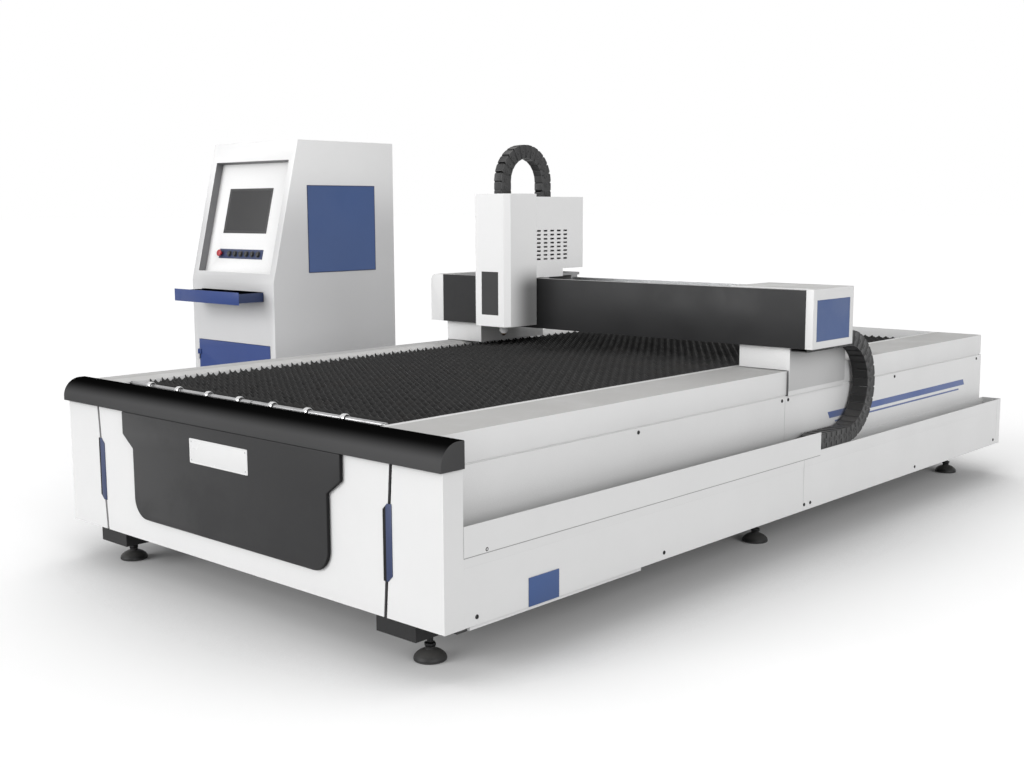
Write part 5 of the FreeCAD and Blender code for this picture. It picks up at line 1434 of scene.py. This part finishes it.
@dataclass
class LoadingRollers:
    """Seven wheels on the rod at the loading front."""

    count: int = 7
    radius: float = 0.018
    rod_radius: float = 0.0095
    seal: tuple[float, float] = (0.0102, 0.0139)
    lug_inset: float = 0.012
    lug_offset: float = 0.05
    lug_half: tuple[float, float] = (0.009, 0.010)
    lug_cover: float = 0.004

    def build(self) -> None:
        """Make the rod, then turn each wheel with a grooved hub and a bright rim."""
        self.rod()
        near, far = self.seal
        for number in range(1, self.count + 1):
            node = f"roller_wheel_{number}"
            low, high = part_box(node)
            half, centre = (high.x - low.x) / 2, (low + high) / 2
            rings = [(0.0063, 0.80), (0.0105, 0.80), (0.0108, 0.98), (0.0116, 0.98), (0.0118, 0.62),
                     (0.0138, 0.62), (0.0142, 0.92), (0.0160, 0.99), (0.0175, 0.72), (self.radius, 0.35)]
            profile = mirrored([(radius, -half * share) for radius, share in rings])
            work = Work.turned(node + "_skin", profile, 32, frame_at(centre, (1, 0, 0)))
            work.coat(ROLLER).coat(BLACK, lambda at, n: abs(n.x) > 0.8
                                   and near < math.hypot(at.y - centre.y, at.z - centre.z) < far)
            work.place_on(node, Slot.BRIGHT, node)

    def rod(self) -> None:
        """Turn the rod with necked ends and stand it on its lugs."""
        low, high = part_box("roller_shaft")
        first_low, first_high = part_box("roller_wheel_1")
        centre, r = (first_low + first_high) / 2, self.rod_radius
        profile = mirrored([(r * 0.55, 0.0), (r * 0.6, 0.004), (r * 0.92, 0.0045), (r, 0.006)],
                           (high.x - low.x) / 2)
        work = Work.turned("roller_shaft_skin", profile, 24, frame_at((low.x, centre.y, centre.z), (1, 0, 0)))
        wide, deep = self.lug_half
        lugs = []
        for x in (low.x + self.lug_inset, (low.x + high.x) / 2 + self.lug_offset, high.x - self.lug_inset):
            lug = Work.block("lug", (x - wide, centre.y - deep, low.z),
                             (x + wide, centre.y + deep, centre.z + self.lug_cover))
            lug.pick(lambda at, n: n.z > FACING).inset(0.003).push((0, 0, self.lug_cover))
            lugs.append(lug.soften(0.0012).coat(FRAME))
        work.coat(ROD).join(lugs).place_on("base", Slot.BRIGHT, "roller_shaft")


# ---------------------------------------------------------------- energy chains
@dataclass
class EnergyChain:
    """Links of one energy chain: two lobed side plates, two cross bars and the pins."""

    title: str
    centre_x: float
    width: float
    height: float
    pitch: float
    plate: float = 0.005
    plate_gap: float = 0.0008
    plate_rear: float = 1.16
    plate_front: float = 1.02
    plate_round: float = 0.26
    plate_rim: float = 0.0038
    plate_depth: float = 0.0016
    boss: tuple[tuple[float, float], ...] = ((0.0125, -0.0012), (0.0125, 0.0002), (0.0112, 0.0008),
                                             (0.0060, 0.0008), (0.0052, -0.0006))
    boss_place: float = 0.52
    bar: float = 0.0045
    bar_round: float = 0.3
    bar_rim: float = 0.004
    bar_depth: float = 0.0008
    inner_reach: float = 0.85
    outer_reach: float = 0.98

    def link(self) -> Work:
        """Return one link on the origin: Y along the chain, Z towards its outer edge."""
        parts = [part for side in (-1, 1) for part in self.side_plate(side)]
        parts += [self.cross_bar(-1, self.inner_reach), self.cross_bar(1, self.outer_reach)]
        whole = parts[0].join(parts[1:])
        whole.item.name = self.title + "_link"
        return whole

    def side_plate(self, side: int) -> tuple[Work, Work]:
        """Return the plate of one side and the boss of its pin."""
        half, tall, long = self.width / 2, self.height / 2, self.pitch / 2
        outer = half - self.plate_gap
        x0, x1 = sorted((side * (half - self.plate), side * outer))
        plate = Work.block("plate", (x0, -long * self.plate_rear, -tall), (x1, long * self.plate_front, tall))
        plate.pick(lambda at, d: abs(d.x) > FACING, Kind.EDGE).bevel(tall * self.plate_round, 3)
        plate.pick(lambda at, n: n.x * side > FACING).inset(self.plate_rim, self.plate_depth)
        place = frame_at((side * (outer - self.plate_gap), -long * self.boss_place, 0), (side, 0, 0))
        return plate.coat(CHAIN_PLATE), Work.turned("boss", self.boss, 16, place).coat(CHAIN_PLATE)

    def cross_bar(self, level: int, share: float) -> Work:
        """Return the bar at the inner edge, level -1, or at the outer edge, level 1."""
        half, reach = self.width / 2 - self.plate, self.pitch / 2 * share
        z = level * (self.height / 2 - self.bar * 0.5)
        bar = Work.block("bar", (-half, -reach, z - self.bar / 2), (half, reach, z + self.bar / 2))
        bar.pick(lambda at, d: abs(d.x) > FACING, Kind.EDGE).bevel(self.bar * self.bar_round)
        bar.pick(lambda at, n: n.z * level > FACING).inset(self.bar_rim, self.bar_depth)
        return bar.coat(CHAIN_BAR)

    def run(self, points: Sequence[tuple[float, float]], flip: float) -> list[Matrix]:
        """Return link places along straight runs of the chain's middle line.

        Args:
            points: Y and Z of the corners in metres.
            flip: angle added to the direction, so that the outer edge looks the right way.

        Returns:
            One matrix for each link.
        """
        lengths = [math.dist(a, b) for a, b in zip(points, points[1:])]
        count = max(1, round(sum(lengths) / self.pitch))
        places = []
        for number in range(count):
            rest = (number + 0.5) * sum(lengths) / count
            for (a, b), length in zip(zip(points, points[1:]), lengths):
                if rest <= length:
                    share = rest / length
                    angle = math.atan2(b[1] - a[1], b[0] - a[0]) + flip
                    y, z = a[0] + (b[0] - a[0]) * share, a[1] + (b[1] - a[1]) * share
                    places.append(in_plane_yz(y, z, angle, self.centre_x))
                    break
                rest -= length
        return places

    def bend(self, y: float, z: float, radius: float, start: float, end: float) -> list[Matrix]:
        """Return link places round a bend, with angles in degrees from +Y towards +Z."""
        count = max(3, round(math.radians(end - start) * radius / self.pitch))
        places = []
        for number in range(count):
            angle = math.radians(start + (end - start) * (number + 0.5) / count)
            places.append(in_plane_yz(y + radius * math.cos(angle), z + radius * math.sin(angle),
                                      angle - math.pi / 2, self.centre_x))
        return places

    def piece(self, name: str, places: list[Matrix]) -> Work:
        """Return copies of the link at each place as one piece."""
        work = self.link()
        work.item.name = name
        return work.copies(places)


@dataclass
class SideChain(EnergyChain):
    """Chain from the tray to the gantry."""

    title: str = "side_chain"
    centre_x: float = 1.905
    width: float = 0.078
    height: float = 0.068
    pitch: float = 0.045
    start: float = BED_FRONT + 0.900
    tray_end: float = 0.0735
    shelf_start: float = 0.1635
    shelf_end: float = 0.399
    tray_height: float = 0.414
    shelf_height: float = 0.436
    bend_y: float = 0.3995
    bend_z: float = 0.652
    bend_radius: float = 0.216
    gantry_end: float = 0.0335
    lower_pivot: float = 0.43
    upper_pivot: float = 0.87
    upper_reach: float = BED_FRONT + 2.872

    def build(self) -> None:
        """Make the lower run, the bend and the upper run."""
        corners = [(self.start, self.tray_height), (self.tray_end, self.tray_height),
                   (self.shelf_start, self.shelf_height), (self.shelf_end, self.shelf_height)]
        lower = self.piece("side_chain_lower", self.run(corners, math.pi))
        lower.stretch_between(("base", "chain_bend"), "side_chain_run",
                              (self.centre_x, self.start, self.lower_pivot),
                              (self.centre_x, self.bend_y, self.lower_pivot))
        arc = self.piece("side_chain_arc", self.bend(self.bend_y, self.bend_z, self.bend_radius, -90, 90))
        arc.place_on("chain_bend", Slot.CHAIN, "side_chain_bend")
        top = self.bend_z + self.bend_radius
        corners = [(self.shelf_end, top), (self.gantry_end, top)]
        upper = self.piece("side_chain_upper", self.run(corners, math.pi))
        upper.stretch_between(("base", "gantry"), "side_chain_top",
                              (self.centre_x, self.upper_reach, self.upper_pivot),
                              (self.centre_x, self.gantry_end, self.upper_pivot))
        log.info("side chain is linked from the tray to the gantry")


@dataclass
class HeadChain(EnergyChain):
    """Chain that feeds the laser head."""

    title: str = "head_chain"
    centre_x: float = 0.371
    width: float = 0.052
    height: float = 0.066
    pitch: float = 0.040
    middle_y: float = 0.0035
    radius: float = 0.147
    arch_z: float = 1.565
    front_low: float = 1.297
    front_reach: float = 1.833
    rear_low: float = 1.437

    def build(self) -> None:
        """Make the front leg, the arch and the rear leg."""
        front_y, rear_y = self.middle_y - self.radius, self.middle_y + self.radius
        corners = [(front_y, self.arch_z), (front_y, self.front_low)]
        front = self.piece("head_chain_front", self.run(corners, math.pi))
        front.stretch_between(("head", "laser_slide"), "z_chain_front_leg",
                              (self.centre_x, front_y, self.front_reach),
                              (self.centre_x, front_y, self.front_low))
        arch = self.piece("head_chain_arch", self.bend(self.middle_y, self.arch_z, self.radius, 0, 180))
        arch.place_on("chain_arch", Slot.CHAIN, "z_chain_arch")
        rear = self.piece("head_chain_rear", self.run([(rear_y, self.arch_z), (rear_y, self.rear_low)], 0.0))
        rear.stretch_between(("head", "chain_arch"), "z_chain_rear_leg",
                             (self.centre_x, rear_y, self.rear_low), (self.centre_x, rear_y, self.arch_z))


# ---------------------------------------------------------------- gantry and head
@dataclass
class Gantry:
    """Beam, end boxes, feet and drives."""

    panel_margin: float = 0.028
    panel_edge: float = 0.0006
    panel_depth: float = 0.0015
    panel_drop: float = 0.016
    panel_within: float = 0.06
    arm_left: float = -0.175
    arm_right: float = 1.835

    def build(self) -> None:
        """Dress the gantry and sink the blue panel into its right end."""
        carry("gantry_beam", BEAM_TOP_SHADE)
        cover = remake("beam_front_cover", BEAM_DARK, 0.001)
        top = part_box("beam_front_cover")[1].z - 0.002
        cover.coat(BEAM_TOP_SHADE, lambda at, n: at.z > top and n.z > FACING)
        cover.place_on("gantry", Slot.DARK, "beam_front_cover")
        self.feet()
        self.arms()
        for node in ("x_rails", "left_pinion", "right_pinion"):
            carry(node, GUIDE, 0.0)
        self.end_boxes()

    def feet(self) -> None:
        """Grey the outer face of the right skirt, which turns away from the light."""
        work = remake("gantry_feet", WHITE)
        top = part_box("gantry_feet")[1].z - 0.01
        work.coat(SKIRT_SHADE, lambda at, n: n.x > FACING and at.z < top)
        work.place_on("gantry", Slot.WHITE, "gantry_feet")

    def arms(self) -> None:
        """Coat the arms white outside the hoods, with painted shade on their front faces there."""
        low, high = (corner.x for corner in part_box("rail_covers"))
        work = Work.copy_of("gantry_carriages", "gantry_carriages_skin")
        work.split(low, high).soften(0.0006)
        work.coat(FRAME).coat(WHITE, lambda at, _: at.x > self.arm_right or at.x < self.arm_left)
        work.coat(RECESS_SHADE, lambda at, n: n.y < -0.5 and (at.x > high or at.x < low))
        work.place_on("gantry", Slot.FRAME, "gantry_carriages")

    def end_boxes(self) -> None:
        """Inset the right end face and paint it blue."""
        work = remake("beam_end_boxes", WHITE, 0.002)
        low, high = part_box("beam_end_boxes")
        face, top = high.x - 0.0005, high.z - self.panel_margin
        within = self.panel_within
        work.pick(lambda at, n: n.x > 0.99 and at.x > face).inset(self.panel_margin)
        work.pick(lambda at, _: at.x > face and abs(at.z - top) < 0.004, Kind.EDGE)
        work.move((0, 0, -self.panel_drop))
        work.pick(lambda at, n: n.x > 0.99 and at.x > face and low.z + within < at.z < high.z - within
                  and low.y + within < at.y < high.y - within)
        work.inset(self.panel_edge, self.panel_depth).fill(BLUE)
        work.place_on("gantry", Slot.WHITE, "beam_end_boxes")


@dataclass
class Head:
    """Covers and laser head."""

    ring_share: float = 0.42

    def build(self) -> None:
        """Dress the covers and make the head's own pieces."""
        carry("x_carriage", BEAM_TOP_SHADE)
        # painted light and shade: the head covers take lighter copies of the white coat, the front one
        # darkened near the beam
        carry("head_front_cover", HEAD_WHITE)
        carry("head_rear_cover", WHITE_PAINTED_LIGHT)
        carry("head_window", SMOKED, 0.0008)
        remake("cutting_head", WHITE, 0.001).place_on("laser_slide", Slot.WHITE, "cutting_head")
        self.nozzle()

    def nozzle(self) -> None:
        """Turn the ceramic ring and the copper tip."""
        low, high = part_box("nozzle")
        centre = (low + high) / 2
        r, tall, ring = (high.x - low.x) / 2, high.z - low.z, self.ring_share
        rings = [(0.9, 0.0), (1.0, 0.001 / tall), (1.0, 0.25), (0.78, 0.32), (0.78, ring), (0.92, 0.46),
                 (0.9, 0.60), (0.42, 0.93), (0.28, 1.0), (0.08, 1.0), (0.08, 0.8)]
        profile = [(r * radius, -tall * depth) for radius, depth in rings]
        work = Work.turned("nozzle_skin", profile, 28, Matrix.Translation((centre.x, centre.y, high.z)))
        work.coat(COPPER).coat(WHITE_PAINTED_LIGHT, lambda at, _: at.z > high.z - tall * ring)
        work.place_on("laser_slide", Slot.COPPER, "nozzle")


# ---------------------------------------------------------------- cabinet
@dataclass
class Cabinet:
    """Control cabinet with its console, drawer and door."""

    centre: float = -1.587
    front: float = -0.3565
    knee: float = 1.028
    pan_depth: float = 0.050
    pan_side: float = 0.34
    pan_top: float = 0.7
    shift: float = -0.022
    strip_width: float = 0.425
    strip_low: float = 0.140
    strip_high: float = 0.196
    strip_lift: float = 0.005
    bezel: float = 0.014
    bezel_step: float = 0.0012
    button_count: int = 6
    button_gap: float = 0.0033
    stop_gap: float = 0.0052

    def slant(self, x: float, up: float, out: float) -> Vector:
        """Return the point at x across, up the slanted face and out of it."""
        return Vector((self.centre + x, self.front + up * math.sin(LEAN) - out * math.cos(LEAN),
                       self.knee + up * math.cos(LEAN) + out * math.sin(LEAN)))

    def local(self, at: Vector) -> tuple[float, float, float]:
        """Return a point's x across, place up the slanted face and height out of it."""
        y, z = at.y - self.front, at.z - self.knee
        return (at.x - self.centre, y * math.sin(LEAN) + z * math.cos(LEAN),
                -y * math.cos(LEAN) + z * math.sin(LEAN))

    def across(self, node: str) -> float:
        """Return how far right of the cabinet's middle a CAD node lies."""
        low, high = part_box(node)
        return (low.x + high.x) / 2 - self.centre

    @property
    def outward(self) -> Vector:
        """Direction out of the slanted face."""
        return Vector((0, -math.cos(LEAN), math.sin(LEAN)))

    def build(self) -> None:
        """Dress the shell and make the console, drawer and door pieces."""
        remake("cabinet_shell", CABINET_WHITE, 0.002).place_on("base", Slot.WHITE, "cabinet_shell")
        remake("cabinet_door", BLUE_FRONT_SHADE, 0.0015).place_on("door", Slot.BLUE, "cabinet_door")
        carry("drawer_runners", GUIDE, 0.0)
        self.console()
        self.screen()
        self.buttons()
        Drawer(self.centre).build()
        remake("door_latch", ROD, 0.001).place_on("latch", Slot.BRIGHT, "door_latch")

    def console(self) -> None:
        """Recessed pan with painted shade on its walls and a dark strip for the buttons."""
        work = remake("console_panel", WHITE_PAINTED_LIGHT)
        reach, floor = self.strip_width / 2 + NEAR, -self.pan_depth

        def is_wall(at: Vector, normal: Vector) -> bool:
            """Tell whether a face is a side wall or the top wall of the pan."""
            x, up, _ = self.local(at)
            return abs(normal.dot(self.outward)) < 0.3 and (abs(x) > self.pan_side or up > self.pan_top)

        def is_strip(at: Vector, _: Vector) -> bool:
            """Tell whether a face is part of the raised strip."""
            x, up, out = self.local(at)
            return (abs(x - self.shift) < reach and self.strip_low - NEAR < up < self.strip_high + NEAR
                    and floor + self.strip_lift / 2 < out < floor + self.strip_lift + NEAR)

        work.coat(RECESS_SHADE, is_wall).coat(NAVY, is_strip)
        work.place_on("base", Slot.WHITE, "console_panel")

    def screen(self) -> None:
        """Screen with a dark bezel round the pane."""
        work = Work.copy_of("screen", "screen_skin").coat(BLACK)
        front = -self.pan_depth + 0.003
        work.pick(lambda at, n: n.dot(self.outward) > 0.99 and self.local(at)[2] > front)
        work.inset(self.bezel).inset(self.bezel_step, self.bezel_step).fill(GLASS)
        work.soften(0.0008).place_on("base", Slot.GLASS, "screen")

    def buttons(self) -> None:
        """Six push buttons with rings, and the mushroom stop."""
        turn = frame_at((0, 0, 0), self.outward)
        face = -self.pan_depth + self.strip_lift
        middle = (self.strip_low + self.strip_high) / 2
        cap = [(0.0078, -0.006), (0.0078, 0.0), (0.0140, 0.0), (0.0140, 0.0068), (0.0130, 0.0077),
               (0.0106, 0.0077), (0.0098, 0.0066)]
        rings = []
        for number in range(1, self.button_count + 1):
            node = f"button_{number}"
            x = self.across(node)
            place = Matrix.Translation(self.slant(x, middle, face + self.button_gap)) @ turn
            work = Work.turned(node + "_skin", cap, 28, place)
            work.coat(KEY if number != 1 else BLACK).place_on(node, Slot.BUTTON, node)
            rings.append(Matrix.Translation(self.slant(x, middle, face)) @ turn)
        self.ring().copies(rings).coat(KEY).place_on("base", Slot.BUTTON)
        mushroom = [(0.0078, -0.008), (0.0078, 0.0), (0.0120, 0.0), (0.0120, 0.0065), (0.0185, 0.0080),
                    (0.0200, 0.0100), (0.0200, 0.0130), (0.0188, 0.0155), (0.0150, 0.0170), (0.0080, 0.0176)]
        spot = self.slant(self.across("emergency_stop"), middle, face + self.stop_gap)
        work = Work.turned("emergency_stop_skin", mushroom, 36, Matrix.Translation(spot) @ turn)
        work.coat(RED).place_on("stop_button", Slot.RED, "emergency_stop")

    @staticmethod
    def ring() -> Work:
        """Return the open ring round a push button, on the origin."""
        work = Work.turned("button_rings", [(0.0146, 0.0026), (0.0146, 0.0002), (0.0182, 0.0002),
                                            (0.0182, 0.0016), (0.0168, 0.0028), (0.0146, 0.0028)], 28)
        work.pick(lambda at, n: abs(n.z) > FACING and math.hypot(at.x, at.y) < NEAR)
        bpy.ops.mesh.delete(type="FACE")
        bpy.ops.mesh.select_all(action="SELECT")
        bpy.ops.mesh.remove_doubles(threshold=0.00001)
        bpy.ops.mesh.normals_make_consistent(inside=False)
        bpy.ops.object.mode_set(mode="OBJECT")
        return work


@dataclass
class Drawer:
    """Blue drawer with a keyboard in it."""

    centre: float
    lip: float = 0.004
    bottom: float = 0.9212
    board_half: float = 0.225
    board: tuple[float, float] = (0.016, 0.158)
    board_height: float = 0.016
    key_left: float = -0.2145
    key_front: float = 0.0255
    key_size: float = 0.016
    key_heights: tuple[float, float] = (0.013, 0.0205)
    key_taper: float = 0.78
    columns: int = 23
    column_step: float = 0.01865
    rows: int = 7
    row_step: float = 0.0185

    def build(self) -> None:
        """Dress the drawer and lay the keyboard in it."""
        work = remake("keyboard_drawer", BLUE_FRONT_SHADE, 0.001)
        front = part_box("keyboard_drawer")[0].y
        work.coat(NAVY, lambda at, _: at.y > front + self.lip)
        work.place_on("drawer", Slot.BLUE, "keyboard_drawer")
        start, end = (front + depth for depth in self.board)
        board = Work.block("keyboard", (self.centre - self.board_half, start, self.bottom),
                           (self.centre + self.board_half, end, self.bottom + self.board_height))
        board.pick(lambda at, n: n.z > FACING).inset(0.006, 0.002)
        board.soften(0.0015, angle=35.0).coat(BLACK)
        board.join([self.keys(front).coat(KEY)]).place_on("drawer", Slot.BUTTON)

    def keys(self, front: float) -> Work:
        """Return the rows of tapered keys, hollowed a little at the top."""
        left, near = self.centre + self.key_left, front + self.key_front
        low, high = (self.bottom + height for height in self.key_heights)
        key = Work.block("key", (left, near, low), (left + self.key_size, near + self.key_size, high))
        key.pick(lambda at, n: n.z > FACING)
        bpy.ops.transform.resize(value=(self.key_taper, self.key_taper, 1.0))
        key.pick(lambda at, n: n.z > FACING).inset(0.002, 0.0006)
        return key.row(self.columns, (self.column_step, 0, 0)).row(self.rows, (0, self.row_step, 0))


def main() -> None:
    """Build every part of the scene in order."""
    logging.basicConfig(level=logging.INFO, format="%(name)s: %(message)s")
    for part in (Studio(), Bed(), SlatField(), LoadingRollers(), SideChain(), HeadChain(), Gantry(), Head(),
                 Cabinet()):
        part.build()
        log.info("%s is done", type(part).__name__)
    Work.clear()


if __name__ == "__main__":
    main()
